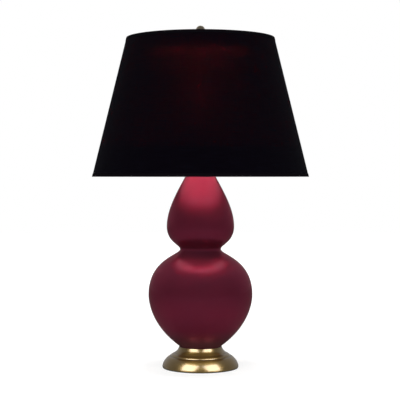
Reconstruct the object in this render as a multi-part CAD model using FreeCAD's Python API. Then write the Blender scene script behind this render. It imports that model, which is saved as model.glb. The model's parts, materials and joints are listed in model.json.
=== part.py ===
import FreeCAD, Part
import math
import os

from FreeCAD import Vector

# A table lamp: a glazed double gourd on a stepped brass base, with a screw lampholder, a harp and a
# tapered drum shade that a ball finial holds down.
# Millimetres. +Z is up, the origin is the middle of the felt foot on the table, and -Y is the front.
# Every piece is a separate solid, stacked from the table upwards on the pieces below it.

FULL_TURN = 360.0
STRAIGHT = (1 / 3, 1 / 3)  # the fullness that makes a cubic a straight line run at a steady rate
ROUND_HANDLE = 0.5523    # the handle of a quarter circle, as a share of its radius
FIT_GAP = 0.1            # between a moving piece's face and the face that it turns or slides against
RUNNING_GAP = 0.06       # radial, between a turning pin and its hole
LOOSE_GAP = 0.25         # radial, between a threaded rod and the plain hole that it passes through
SAME_POINT = 1e-6        # points closer than this are one point
HALVINGS = 40            # steps of a search that halves its range each time

# --- base ---
FELT_THICKNESS = 1.5
FELT_INSET = 0.5         # from the bottom edge of the base to the edge of the felt
BASE_RADIUS = 85.1
BASE_HEIGHT = 45.6       # from the felt to the top of the collar's lip
BASE_WALL = 1.5
RIM_HEIGHT = 1.2         # of the skirt's widest line above the felt
RIM_TUCK = 0.5           # how far the skirt draws in again at its bottom edge
SKIRT_TOP_RADIUS = 68.4
SKIRT_TOP_HEIGHT = 24.8  # above the felt, where the skirt meets the roll above it
ROLL_STEP = 1.2          # the groove's ledge between the skirt and the roll
ROLL_STEP_RISE = 0.18   # how much the ledge climbs inwards
ROLL_TOP_RADIUS = 58.3
ROLL_TOP_HEIGHT = 31.3
COLLAR_RADIUS = 47.7
# The two handles of each curve, as shares of how far it draws in and how far it rises.
SKIRT_HANDLES = ((0.0, 0.38), (0.385, 0.08))
ROLL_HANDLES = ((0.12, 0.45), (0.45, 0.20))
COVE_HANDLES = ((0.40, 0.27), (0.20, 0.60))
LIP_DEPTH = 2.3          # from the collar's lip down to the plate that the gourd's gasket lies on
PLATE_THICKNESS = 1.5
WEIGHT_RADIUS = 70.0
WEIGHT_THICKNESS = 13.0
WEIGHT_LIFT = 1.0        # from the felt to the iron
HUB_RADIUS = 24.0
RECESS_RADIUS = 16.0
RECESS_DEPTH = 24.5      # up from the iron's underside to the face that the washer bears on
CORD_SLOT_WIDTH = 9.0
CORD_SLOT_DEPTH = 10.0
EDGE_BREAK = 1.5         # chamfer of the iron's upper edge

# --- rod and its fasteners ---
ROD_RADIUS = 4.85
ROD_BORE_RADIUS = 3.4
ROD_BELOW_NUT = 1.0
ROD_INTO_CAP = 8.0
NUT_ACROSS_FLATS = 14.3
NUT_THICKNESS = 4.5
WASHER_RADIUS = 13.0
WASHER_THICKNESS = 1.5
LOCK_WASHER_RADIUS = 8.6
LOCK_WASHER_THICKNESS = 1.2
LOCK_WASHER_SPLIT = 1.6

# --- cord inlet and the lead inside the lamp ---
INLET_HEIGHT = 8.0       # of the inlet's middle above the felt
INLET_BORE_RADIUS = 3.3
INLET_SLEEVE_RADIUS = 4.5
INLET_FLANGE_RADIUS = 6.0
INLET_OUTSIDE = 1.3      # how far the flange stands out of the skirt
INLET_INSIDE = 4.0
LEAD_WIDTH = 5.2
LEAD_THICKNESS = 2.6
LEAD_BEND = 9.0
LEAD_ABOVE_ROD = 0.6
TAIL_RADIUS = 1.0
TAIL_BEND = 2.6
TAIL_TURN = 0.45         # where a tail turns outwards, as a share of the way from the lead to the block

# --- gourd ---
GASKET_THICKNESS = 1.5
GASKET_INNER_RADIUS = 30.0
GOURD_HEIGHT = 406.7
GOURD_WALL = 6.0
GOURD_FLOOR = 9.0
FOOT_RADIUS = 45.8
FOOT_EDGE = 1.4          # the upright edge that stands inside the collar's lip
GLOBE_RADIUS = 116.0
GLOBE_LEVEL = 117.5      # the widest line of the lower gourd, above the foot
WAIST_RADIUS = 45.5
WAIST_LEVEL = 218.3
CROWN_RADIUS = 75.2      # the upper gourd
CROWN_LEVEL = 269.1
NECK_RADIUS = 20.0
FLANK_SLOPE = 1.385       # radius gained per height where the lower gourd leaves its foot
NECK_SLOPE = 0.48        # radius lost per height where the upper gourd reaches its neck
# How far each curve keeps to its end's direction, as a share of the height between its two ends.
FLANK_FULLNESS = (0.387, 0.166)
SHOULDER_FULLNESS = (0.777, 0.126)
UNDERCUT_FULLNESS = (0.195, 0.696)
TEARDROP_FULLNESS = (0.341, 0.326)

# --- neck ---
NECK_CAP_RADIUS = 19.4
NECK_CAP_HEIGHT = 8.5
NECK_CAP_WALL = 1.0
NECK_CAP_TOP_RADIUS = 8.2
NECK_CAP_HANDLES = ((0.0, 0.55), (0.5, 0.0))
SPOOL_HEIGHT = 14.5
SPOOL_BAND = 2.4         # the plain band at each end of the spool
SPOOL_RADIUS = 8.0
SPOOL_WAIST_RADIUS = 6.3

# --- lampholder ---
HUB_HEIGHT = 8.0
HUB_OUTER_RADIUS = 6.8
CAP_RADIUS = 17.0
CAP_WALL = 0.7
CAP_SHOULDER_LEVEL = 17.0
CAP_HANDLES = ((0.55, 0.0), (0.0, 0.6))
CAP_LEVEL = 22.5         # top of the cap's lip above the saddle
SHELL_WALL = 0.6
SHELL_START_LEVEL = 18.5
SHELL_END_LEVEL = 59.0
SHELL_ROLL = 1.1         # radius of the rolled edge at the mouth
SHELL_BEAD = 0.7
SHELL_BEAD_LEVEL = 33.0
LINER_WALL = 0.6
LINER_START = 1.0        # above the block's underside
LINER_END = 0.5          # below the shell's mouth
SCREW_SHELL_RADIUS = 13.4
SCREW_SHELL_WALL = 0.5
SCREW_SHELL_LEVEL = 34.0
SCREW_SHELL_HEIGHT = 23.5
BLOCK_SLIM_RADIUS = 10.6
BLOCK_LEVEL = 16.0
BLOCK_STEP_LEVEL = 30.0
TERMINAL_LEVEL = 20.5
TERMINAL_HEAD_RADIUS = 2.7
TERMINAL_HEAD = 1.6
TERMINAL_SHANK_RADIUS = 1.5
TERMINAL_SHANK = 5.0
CONTACT_LEVEL = 38.0     # top of the centre contact above the saddle
CONTACT_THICKNESS = 0.5
CONTACT_LENGTH = 11.0
CONTACT_WIDTH = 5.0
CONTACT_RETURN = 3.0     # how far the strip's free end stops short of its foot
RING_CONTACT_OUTER = 11.0  # from the axis to the tab's upright
RING_CONTACT_INNER = 7.0   # from the axis to the tab's tip
RING_CONTACT_WIDTH = 3.5
SET_SCREW_RADIUS = 1.6
SET_SCREW_LENGTH = 4.2
SET_SCREW_SLOT_WIDTH = 0.65
SET_SCREW_SLOT_DEPTH = 0.8
SWITCH_LEVEL = 26.2      # of the switch's shaft above the saddle
SHAFT_RADIUS = 1.9
SHAFT_DEPTH = 8.0        # from the lamp's axis to the shaft's inner end
SHAFT_HOLE_RADIUS = 2.6
KNOB_RADIUS = 6.4
KNOB_LENGTH = 13.0
KNOB_START = 24.5        # from the lamp's axis to the knob's inner face
KNOB_BORE_DEPTH = 8.0
KNOB_FLUTES = 16
KNOB_FLUTE_RADIUS = 0.7
KNOB_ROUNDING = 1.3      # of the knob's outer edge

# --- bulb ---
THREAD_PITCH = 3.629
BULB_LENGTH = 130.0
BULB_RADIUS = 33.3
BULB_WALL = 0.8
BULB_CAP_LENGTH = 24.5
BULB_CAP_RADIUS = 13.03
BULB_THREAD_DEPTH = 0.6
BULB_THREADS = 4
BULB_RIB = 2 / 3         # width of a rib, as a share of the pitch
BULB_CAP_WALL = 0.5
BULB_NECK_IN_CAP = 3.0   # length of glass that the cap holds
BULB_NECK_FULLNESS = (0.42, 0.42)
BULB_BUTTON_RADIUS = 4.6
BULB_BUTTON_TIP_RADIUS = 2.8
BULB_BUTTON_HEIGHT = 1.4
BULB_RING_INNER_RADIUS = 7.0
BULB_RING_OUTER_RADIUS = 8.2
BULB_RING_HEIGHT = 0.6
BULB_GLAND_FOOT_RADIUS = 8.6
BULB_GLAND_HEIGHT = 4.6
STEM_RADIUS = 5.5
STEM_TIP_RADIUS = 3.3
STEM_HEIGHT = 36.0
STEM_FLARE = 9.0         # length of the stem's flared foot
STEM_TAPER = 12.0        # length of the stem's tapered top
STEM_SEAL = 1.0
STEM_IN_CAP = 2.0        # of the stem below the cap's top edge
FILAMENT_HALF_SPAN = 11.0
FILAMENT_RISE = 32.0
FILAMENT_RADIUS = 0.5
SUPPORT_RADIUS = 0.4
SUPPORT_SPREAD = 2.2     # from the middle support's foot to the outer ones

# --- harp ---
SADDLE_THICKNESS = 1.6
SADDLE_WIDTH = 12.0
SADDLE_HALF_SPAN = 39.3  # from the axis to the middle of an upright
SADDLE_BEND = 11.0
SADDLE_SHOULDER = 22.0   # of the upright's wide part above the strip's underside
SADDLE_TIP = 14.0        # length of the narrow tip above the shoulder
SADDLE_TIP_WIDTH = 5.0
HARP_WIRE_RADIUS = 1.6
HARP_HEIGHT = 242.0      # from the saddle's underside to the wire's middle at the top
HARP_HALF_WIDTH = 56.0
HARP_STRAIGHT = 37.0     # of each leg above the shoulder
HARP_FLARE_HEIGHT = 40.0
EYE_MARGIN = 0.7         # of the flattened eye beyond the stud's collar
EYE_THICKNESS = 2.4
SLEEVE_BORE_RADIUS = 3.6
SLEEVE_RADIUS = 4.5
SLEEVE_HEIGHT = 14.0

# --- stud, spider and shade ---
STUD_PIN_RADIUS = 2.1
STUD_RIVET_RADIUS = 3.6
STUD_RIVET = 1.5
STUD_COLLAR_RADIUS = 6.5
STUD_COLLAR = 3.0
STUD_THREAD_RADIUS = 3.1
STUD_THREAD_LENGTH = 14.0
STUD_POINT = 0.9         # chamfer of the thread's end
SPIDER_WASHER_RADIUS = 13.0
SPIDER_WASHER_THICKNESS = 2.0
SPIDER_DROP = 9.7        # from the shade's top edge down to the top of the washer
SPIDER_ARMS = 3
SPIDER_WIRE_RADIUS = 1.5
SPIDER_WELD = 1.0        # how far an arm starts inside the washer's edge, where it is welded on
SPIDER_RISE_LENGTH = 18.0
SPIDER_BEND = 9.0
SHADE_BOTTOM_RADIUS = 241.3
SHADE_TOP_RADIUS = 165.1
SHADE_HEIGHT = 308.0
COVER_THICKNESS = 0.8
LINER_THICKNESS = 0.7
TAPE_THICKNESS = 0.5
TAPE_WIDTH = 7.0
RING_WIRE_RADIUS = 1.5

# --- finial ---
FINIAL_BASE_RADIUS = 8.5
FINIAL_BASE_HEIGHT = 18.0
FINIAL_FOOT = 2.2
FINIAL_NECK_RADIUS = 4.6
FINIAL_NECK_HANDLES = ((0.872, 0.078), (0.0, 0.727))
FINIAL_BEAD_RADIUS = 6.0
FINIAL_BEAD_HEIGHT = 3.0
FINIAL_BALL_RADIUS = 10.4
FINIAL_SEAT_RADIUS = 4.7
SPIGOT_RADIUS = 2.5
SPIGOT_HEIGHT = 5.0
FINIAL_BORE_END = 1.0    # of the finial's bore beyond the end of the stud

# --- levels that follow from the stack, all above the table ---
base_bottom = FELT_THICKNESS
collar_top = base_bottom + BASE_HEIGHT
plate_top = collar_top - LIP_DEPTH
plate_bottom = plate_top - PLATE_THICKNESS
gourd_foot = plate_top + GASKET_THICKNESS
gourd_top = gourd_foot + GOURD_HEIGHT
spool_bottom = gourd_top + NECK_CAP_HEIGHT
saddle_bottom = spool_bottom + SPOOL_HEIGHT
holder_bottom = saddle_bottom + SADDLE_THICKNESS
rod_top = holder_bottom + ROD_INTO_CAP
weight_bottom = base_bottom + WEIGHT_LIFT
weight_top = weight_bottom + WEIGHT_THICKNESS
recess_top = weight_bottom + RECESS_DEPTH
washer_bottom = recess_top - WASHER_THICKNESS
lock_washer_bottom = washer_bottom - LOCK_WASHER_THICKNESS
nut_bottom = lock_washer_bottom - NUT_THICKNESS
rod_bottom = nut_bottom - ROD_BELOW_NUT
inlet_level = base_bottom + INLET_HEIGHT
rod_hole_radius = ROD_RADIUS + LOOSE_GAP
bulb_tip = holder_bottom + CONTACT_LEVEL + FIT_GAP
stem_bottom = bulb_tip + BULB_CAP_LENGTH - STEM_IN_CAP
stem_top = stem_bottom + STEM_HEIGHT
harp_top = saddle_bottom + HARP_HEIGHT
eye_top = harp_top + EYE_THICKNESS / 2
eye_bottom = harp_top - EYE_THICKNESS / 2
collar_bottom = eye_top + FIT_GAP
stud_seat = collar_bottom + STUD_COLLAR
washer_top = stud_seat + SPIDER_WASHER_THICKNESS
shade_top = washer_top + SPIDER_DROP
shade_bottom = shade_top - SHADE_HEIGHT

UP = Vector(0, 0, 1)
AXIS_POINT = Vector(0, 0, 0)


# ------------------------------------------------------------------ outlines and solids of revolution
def point(radius, height):
    """A point of the XZ half plane."""
    return Vector(radius, 0, height)


class Outline:
    """A closed outline in the XZ half plane, drawn from edge to edge."""

    def __init__(self, radius, height):
        self.start = self.here = point(radius, height)
        self.edges = []

    def line(self, radius, height):
        there = point(radius, height)
        if not there.isEqual(self.here, SAME_POINT):
            self.edges.append(Part.LineSegment(self.here, there).toShape())
        self.here = there
        return self

    def arc(self, through, end):
        arc = Part.Arc(self.here, point(*through), point(*end))
        self.edges.append(arc.toShape())
        self.here = point(*end)
        return self

    def bezier(self, poles):
        """A cubic whose first pole is where the outline is now."""
        self.line(*poles[0])
        curve = Part.BezierCurve()
        curve.setPoles([point(*pole) for pole in poles])
        self.edges.append(curve.toShape())
        self.here = point(*poles[-1])
        return self

    def chain(self, cubics):
        for poles in cubics:
            self.bezier(poles)
        return self

    def face(self):
        self.line(self.start.x, self.start.z)
        return Part.Face(Part.Wire(self.edges))

    def spin(self):
        return self.face().revolve(AXIS_POINT, UP, FULL_TURN)


def ring(inner, outer, bottom, top):
    """A flat ring or a disc round the lamp's axis."""
    solid = Part.makeCylinder(outer, top - bottom, point(0, bottom))
    if inner > 0:
        solid = solid.cut(Part.makeCylinder(inner, top - bottom, point(0, bottom)))
    return solid


def cylinder_along(radius, start, direction, length):
    return Part.makeCylinder(radius, length, start, direction)


def cross_point(first, second, third, fourth):
    """Where the line through the first two points meets the line through the other two."""
    ax, az = second[0] - first[0], second[1] - first[1]
    bx, bz = fourth[0] - third[0], fourth[1] - third[1]
    crossing = ax * bz - az * bx
    if abs(crossing) < SAME_POINT:
        return second
    along = ((third[0] - first[0]) * bz - (third[1] - first[1]) * bx) / crossing
    return first[0] + along * ax, first[1] + along * az


def inset(cubics, distance):
    """The chain moved to its left by a distance: a cubic's three legs are moved, and meet again."""
    moved = []
    for poles in cubics:
        legs = []
        for (ax, az), (bx, bz) in zip(poles, poles[1:]):
            length = math.hypot(bx - ax, bz - az)
            nx, nz = -(bz - az) / length * distance, (bx - ax) / length * distance
            legs.append(((ax + nx, az + nz), (bx + nx, bz + nz)))
        first, middle, last = legs
        moved.append([first[0], cross_point(*first, *middle), cross_point(*middle, *last), last[1]])
    return moved


def filled(cubics):
    """The solid inside a chain that runs upwards, closed to the axis."""
    outline = Outline(0, cubics[0][0][1]).chain(cubics)
    return outline.line(0, cubics[-1][-1][1]).spin()


def shell_of(cubics, wall):
    """A thin wall whose outside is the chain, with its ends closed square."""
    inside = [poles[::-1] for poles in inset(cubics, wall)][::-1]
    return Outline(*cubics[0][0]).chain(cubics).chain(inside).spin()


def upright_curve(low, high, fullness):
    """A cubic from low to high that leaves and arrives upright."""
    height = high[1] - low[1]
    return [low, (low[0], low[1] + fullness[0] * height), (high[0], high[1] - fullness[1] * height), high]


def drawn_in_curve(low, high, handles):
    """A cubic from low up to high, whose handles are shares of how far it draws in and how far it rises."""
    spread, rise = low[0] - high[0], high[1] - low[1]
    (low_in, low_up), (high_out, high_down) = handles
    return [low, (low[0] - low_in * spread, low[1] + low_up * rise),
            (high[0] + high_out * spread, high[1] - high_down * rise), high]


# ------------------------------------------------------------------ wires and leads
def path_wire(points, bends):
    """Straight runs through the points, joined by tangent arcs of the radii given for the corners."""
    edges = []
    here = points[0]
    for corner, after, radius in zip(points[1:-1], points[2:], bends):
        incoming = (corner - here).normalize()
        outgoing = (after - corner).normalize()
        turn = incoming.getAngle(outgoing)
        reach = radius * math.tan(turn / 2)
        begin, end = corner - incoming * reach, corner + outgoing * reach
        inward = (outgoing - incoming).normalize()
        middle = corner + inward * (radius / math.cos(turn / 2) - radius)
        if (begin - here).Length > SAME_POINT:
            edges.append(Part.LineSegment(here, begin).toShape())
        edges.append(Part.Arc(begin, middle, end).toShape())
        here = end
    if (points[-1] - here).Length > SAME_POINT:
        edges.append(Part.LineSegment(here, points[-1]).toShape())
    return Part.Wire(edges)


def round_section(radius, centre, direction):
    return Part.Wire([Part.Circle(centre, direction, radius).toShape()])


def wire_rod(points, bends, radius):
    """A round wire along straight runs and tangent arcs."""
    path = path_wire(points, bends)
    section = round_section(radius, points[0], points[1] - points[0])
    return path.makePipeShell([section], True, False)


# ------------------------------------------------------------------ base
def base_outline():
    """The outside of the spun base, from its bottom edge up to the collar's lip."""
    widest = base_bottom + RIM_HEIGHT
    skirt_top = base_bottom + SKIRT_TOP_HEIGHT
    rim = [(BASE_RADIUS - RIM_TUCK, base_bottom), (BASE_RADIUS - RIM_TUCK / 2, base_bottom),
           (BASE_RADIUS, widest - RIM_HEIGHT / 2), (BASE_RADIUS, widest)]
    skirt = drawn_in_curve(rim[-1], (SKIRT_TOP_RADIUS, skirt_top), SKIRT_HANDLES)
    ledge = (SKIRT_TOP_RADIUS - ROLL_STEP, skirt_top + ROLL_STEP_RISE)
    roll = drawn_in_curve(ledge, (ROLL_TOP_RADIUS, base_bottom + ROLL_TOP_HEIGHT), ROLL_HANDLES)
    cove = drawn_in_curve(roll[-1], (COLLAR_RADIUS, collar_top), COVE_HANDLES)
    return [rim, skirt, roll, cove]


def skirt_radius_at(height):
    """The outer radius of the skirt at a height, read off its own curve."""
    skirt = base_outline()[1]
    low, high = 0.0, 1.0
    for _ in range(HALVINGS):
        share = (low + high) / 2
        weights = ((1 - share) ** 3, 3 * share * (1 - share) ** 2, 3 * share ** 2 * (1 - share), share ** 3)
        radius = sum(weight * pole[0] for weight, pole in zip(weights, skirt))
        level = sum(weight * pole[1] for weight, pole in zip(weights, skirt))
        low, high = (share, high) if level < height else (low, share)
    return radius


def make_base_shell():
    outside = base_outline()
    solid = filled(outside)
    hollow = filled(inset(outside, BASE_WALL)).common(ring(0, BASE_RADIUS, 0, plate_bottom))
    hollow = hollow.fuse(ring(0, BASE_RADIUS - RIM_TUCK - BASE_WALL, base_bottom, base_bottom + BASE_WALL))
    seat = ring(0, COLLAR_RADIUS - BASE_WALL, plate_top, collar_top)
    rod_hole = ring(0, rod_hole_radius, plate_bottom, plate_top)
    cord_hole = cylinder_along(INLET_SLEEVE_RADIUS, Vector(0, 0, inlet_level), Vector(0, 1, 0), BASE_RADIUS * 2)
    return solid.cut(hollow).cut(seat).cut(rod_hole).cut(cord_hole)


def make_base_weight():
    outline = Outline(0, weight_bottom).line(WEIGHT_RADIUS, weight_bottom)
    outline.line(WEIGHT_RADIUS, weight_top - EDGE_BREAK).line(WEIGHT_RADIUS - EDGE_BREAK, weight_top)
    outline.line(HUB_RADIUS + EDGE_BREAK, weight_top).line(HUB_RADIUS, weight_top + EDGE_BREAK)
    solid = outline.line(HUB_RADIUS, plate_bottom).line(0, plate_bottom).spin()
    recess = ring(0, RECESS_RADIUS, weight_bottom, recess_top)
    rod_hole = ring(0, rod_hole_radius, recess_top, plate_bottom)
    corner = Vector(-CORD_SLOT_WIDTH / 2, 0, weight_bottom)
    slot = Part.makeBox(CORD_SLOT_WIDTH, WEIGHT_RADIUS * 2, CORD_SLOT_DEPTH, corner)
    return solid.cut(recess).cut(rod_hole).cut(slot)


def make_lock_washer():
    solid = ring(rod_hole_radius, LOCK_WASHER_RADIUS, lock_washer_bottom, washer_bottom)
    corner = Vector(0, -LOCK_WASHER_SPLIT / 2, lock_washer_bottom)
    return solid.cut(Part.makeBox(LOCK_WASHER_RADIUS * 2, LOCK_WASHER_SPLIT, LOCK_WASHER_THICKNESS, corner))


def hexagon_prism(across_flats, bottom, thickness):
    radius = across_flats / 2 / math.cos(math.pi / 6)
    corners = [Vector(radius * math.cos(math.pi / 3 * k), radius * math.sin(math.pi / 3 * k), bottom)
               for k in range(6)]
    return Part.Face(Part.makePolygon(corners + corners[:1])).extrude(UP * thickness)


def make_base_nut():
    prism = hexagon_prism(NUT_ACROSS_FLATS, nut_bottom, NUT_THICKNESS)
    return prism.cut(ring(0, ROD_RADIUS, nut_bottom, lock_washer_bottom))


def make_cord_bushing(base_shell):
    """A grommet in the skirt's back: it fills the hole, and its two collars follow the curved wall."""
    skirt = skirt_radius_at(inlet_level)
    outward = Vector(0, 1, 0)
    inner_end = Vector(0, skirt - INLET_INSIDE, inlet_level)
    length = INLET_INSIDE + INLET_OUTSIDE
    body = cylinder_along(INLET_FLANGE_RADIUS, inner_end, outward, length)
    bore = cylinder_along(INLET_BORE_RADIUS, inner_end, outward, length)
    return body.cut(base_shell).cut(bore)


def base_pieces():
    base_shell = make_base_shell()
    return {
        "felt_pad": ring(0, BASE_RADIUS - RIM_TUCK - FELT_INSET, 0, FELT_THICKNESS),
        "base_shell": base_shell,
        "base_weight": make_base_weight(),
        "base_washer": ring(rod_hole_radius, WASHER_RADIUS, washer_bottom, recess_top),
        "base_lock_washer": make_lock_washer(),
        "base_nut": make_base_nut(),
        "cord_bushing": make_cord_bushing(base_shell),
    }


# ------------------------------------------------------------------ gourd, rod and neck
def gourd_outline():
    """The outside of the double gourd, from its foot to its neck."""
    foot = (FOOT_RADIUS, gourd_foot + FOOT_EDGE)
    globe = (GLOBE_RADIUS, gourd_foot + GLOBE_LEVEL)
    waist = (WAIST_RADIUS, gourd_foot + WAIST_LEVEL)
    crown = (CROWN_RADIUS, gourd_foot + CROWN_LEVEL)
    neck = (NECK_RADIUS, gourd_top)
    flank_reach = FLANK_FULLNESS[0] * (globe[1] - foot[1])
    flank = [foot, (foot[0] + FLANK_SLOPE * flank_reach, foot[1] + flank_reach),
             (globe[0], globe[1] - FLANK_FULLNESS[1] * (globe[1] - foot[1])), globe]
    neck_reach = TEARDROP_FULLNESS[1] * (neck[1] - crown[1])
    teardrop = [crown, (crown[0], crown[1] + TEARDROP_FULLNESS[0] * (neck[1] - crown[1])),
                (neck[0] + NECK_SLOPE * neck_reach, neck[1] - neck_reach), neck]
    shoulder = upright_curve(globe, waist, SHOULDER_FULLNESS)
    undercut = upright_curve(waist, crown, UNDERCUT_FULLNESS)
    return [flank, shoulder, undercut, teardrop]


def make_gourd():
    outside = gourd_outline()
    solid = filled(outside).fuse(ring(0, FOOT_RADIUS, gourd_foot, gourd_foot + FOOT_EDGE))
    above_floor = ring(0, GLOBE_RADIUS, gourd_foot + GOURD_FLOOR, gourd_top + GOURD_WALL)
    hollow = filled(inset(outside, GOURD_WALL)).common(above_floor)
    mouth = ring(0, NECK_RADIUS - GOURD_WALL, gourd_top - GOURD_WALL, gourd_top)
    rod_hole = ring(0, rod_hole_radius, gourd_foot, gourd_foot + GOURD_FLOOR)
    return solid.cut(hollow).cut(mouth).cut(rod_hole).removeSplitter()


def make_neck_cap():
    """A spun brass cap that closes the gourd's mouth."""
    dome = drawn_in_curve((NECK_CAP_RADIUS, gourd_top), (NECK_CAP_TOP_RADIUS, spool_bottom), NECK_CAP_HANDLES)
    flat = ring(rod_hole_radius, NECK_CAP_TOP_RADIUS, spool_bottom - NECK_CAP_WALL, spool_bottom)
    return shell_of([dome], NECK_CAP_WALL).fuse(flat).removeSplitter()


def make_neck_spool():
    """A turned brass spool that clamps the cap from above, under the harp's saddle."""
    middle = spool_bottom + SPOOL_HEIGHT / 2
    outline = Outline(ROD_RADIUS, spool_bottom).line(SPOOL_RADIUS, spool_bottom)
    outline.line(SPOOL_RADIUS, spool_bottom + SPOOL_BAND)
    outline.arc((SPOOL_WAIST_RADIUS, middle), (SPOOL_RADIUS, saddle_bottom - SPOOL_BAND))
    return outline.line(SPOOL_RADIUS, saddle_bottom).line(ROD_RADIUS, saddle_bottom).spin()


def body_pieces():
    return {
        "seat_gasket": ring(GASKET_INNER_RADIUS, FOOT_RADIUS, plate_top, gourd_foot),
        "gourd_body": make_gourd(),
        "centre_rod": ring(ROD_BORE_RADIUS, ROD_RADIUS, rod_bottom, rod_top),
        "neck_cap": make_neck_cap(),
        "neck_spool": make_neck_spool(),
    }


# ------------------------------------------------------------------ lampholder
def level(above_saddle):
    """A level in the lampholder, given above the face of the saddle that it stands on."""
    return holder_bottom + above_saddle


shell_radius = CAP_RADIUS - CAP_WALL
liner_radius = shell_radius - SHELL_WALL
block_radius = liner_radius - LINER_WALL
block_top = level(SCREW_SHELL_LEVEL)
front = Vector(0, -1, 0)
shaft_axis_point = Vector(0, 0, level(SWITCH_LEVEL))


def make_socket_cap():
    hub = ring(ROD_RADIUS, HUB_OUTER_RADIUS, holder_bottom, level(HUB_HEIGHT) + CAP_WALL)
    dome_foot, dome_top = (HUB_OUTER_RADIUS, level(HUB_HEIGHT)), (CAP_RADIUS, level(CAP_SHOULDER_LEVEL))
    dome = drawn_in_curve(dome_foot, dome_top, CAP_HANDLES)
    bowl = shell_of([dome], CAP_WALL)
    lip = ring(CAP_RADIUS - CAP_WALL, CAP_RADIUS, level(CAP_SHOULDER_LEVEL), level(CAP_LEVEL))
    screw_hole = cylinder_along(SET_SCREW_RADIUS, Vector(0, 0, level(HUB_HEIGHT / 2)), Vector(0, 1, 0),
                                HUB_OUTER_RADIUS * 2)
    return hub.fuse([bowl, lip]).removeSplitter().cut(screw_hole)


def make_set_screw():
    start = Vector(0, ROD_RADIUS + FIT_GAP, level(HUB_HEIGHT / 2))
    shank = cylinder_along(SET_SCREW_RADIUS, start, Vector(0, 1, 0), SET_SCREW_LENGTH)
    slot_start = start.y + SET_SCREW_LENGTH - SET_SCREW_SLOT_DEPTH
    corner = Vector(-SET_SCREW_RADIUS, slot_start, start.z - SET_SCREW_SLOT_WIDTH / 2)
    return shank.cut(Part.makeBox(SET_SCREW_RADIUS * 2, SET_SCREW_SLOT_DEPTH, SET_SCREW_SLOT_WIDTH, corner))


def make_socket_shell():
    inner = shell_radius - SHELL_WALL
    bead = level(SHELL_BEAD_LEVEL)
    mouth = level(SHELL_END_LEVEL)
    outline = Outline(inner, level(SHELL_START_LEVEL)).line(shell_radius, level(SHELL_START_LEVEL))
    outline.line(shell_radius, bead - SHELL_BEAD)
    outline.arc((shell_radius + SHELL_BEAD, bead), (shell_radius, bead + SHELL_BEAD))
    outline.line(shell_radius, mouth - SHELL_ROLL * 2)
    outline.arc((shell_radius + SHELL_ROLL, mouth - SHELL_ROLL), (shell_radius, mouth))
    solid = outline.line(inner, mouth).spin()
    return solid.cut(cylinder_along(SHAFT_HOLE_RADIUS, shaft_axis_point, front, CAP_RADIUS * 2))


def make_socket_liner():
    bottom, top = level(BLOCK_LEVEL + LINER_START), level(SHELL_END_LEVEL - LINER_END)
    solid = ring(block_radius, liner_radius, bottom, top)
    return solid.cut(cylinder_along(SHAFT_HOLE_RADIUS, shaft_axis_point, front, CAP_RADIUS * 2))


def make_switch_block():
    outline = Outline(0, level(BLOCK_LEVEL)).line(BLOCK_SLIM_RADIUS, level(BLOCK_LEVEL))
    outline.line(BLOCK_SLIM_RADIUS, level(BLOCK_STEP_LEVEL)).line(block_radius, level(BLOCK_STEP_LEVEL))
    solid = outline.line(block_radius, block_top).line(0, block_top).spin()
    shaft_bore = cylinder_along(SHAFT_RADIUS + RUNNING_GAP, Vector(0, 0, 0), front, CAP_RADIUS)
    shaft_bore.translate(shaft_axis_point)
    solid = solid.cut(shaft_bore)
    for side in (-1, 1):
        start = Vector(side * (BLOCK_SLIM_RADIUS - TERMINAL_SHANK), 0, level(TERMINAL_LEVEL))
        hole = cylinder_along(TERMINAL_SHANK_RADIUS, start, Vector(side, 0, 0), TERMINAL_SHANK * 2)
        solid = solid.cut(hole)
    return solid


def make_terminal_screws():
    screws = []
    for side in (-1, 1):
        outward = Vector(side, 0, 0)
        start = Vector(side * (BLOCK_SLIM_RADIUS - TERMINAL_SHANK), 0, level(TERMINAL_LEVEL))
        head_start = Vector(side * BLOCK_SLIM_RADIUS, 0, level(TERMINAL_LEVEL))
        shank = cylinder_along(TERMINAL_SHANK_RADIUS, start, outward, TERMINAL_SHANK)
        head = cylinder_along(TERMINAL_HEAD_RADIUS, head_start, outward, TERMINAL_HEAD)
        screws.append(shank.fuse(head).removeSplitter())
    return Part.makeCompound(screws)


def make_centre_contact():
    """A springy strip on the block: it stands on one end, and its free end rises under the bulb."""
    top = level(CONTACT_LEVEL)
    half_length, thickness = CONTACT_LENGTH / 2, CONTACT_THICKNESS
    tip = half_length - CONTACT_RETURN
    corners = [(-half_length, block_top), (half_length, block_top), (half_length, block_top + thickness),
               (thickness - half_length, block_top + thickness), (thickness - half_length, top - 2 * thickness),
               (tip, top - thickness), (tip, top), (-half_length, top - thickness)]
    outline = Part.makePolygon([point(*corner) for corner in corners + corners[:1]])
    strip = Part.Face(outline).extrude(Vector(0, CONTACT_WIDTH, 0))
    strip.translate(Vector(0, -CONTACT_WIDTH / 2, 0))
    return strip


def make_ring_contact():
    """The second contact, a bent tab beside the centre one that meets the ring on a two-filament bulb."""
    top = bulb_tip + BULB_BUTTON_HEIGHT - FIT_GAP
    under = top - CONTACT_THICKNESS
    inside = RING_CONTACT_OUTER - CONTACT_THICKNESS
    corners = [(RING_CONTACT_OUTER, block_top), (RING_CONTACT_OUTER, top), (RING_CONTACT_INNER, top),
               (RING_CONTACT_INNER, under), (inside, under), (inside, block_top)]
    outline = Part.makePolygon([point(*corner) for corner in corners + corners[:1]])
    tab = Part.Face(outline).extrude(Vector(0, RING_CONTACT_WIDTH, 0))
    tab.translate(Vector(0, -RING_CONTACT_WIDTH / 2, 0))
    tab.rotate(AXIS_POINT, UP, 90)
    return tab


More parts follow.
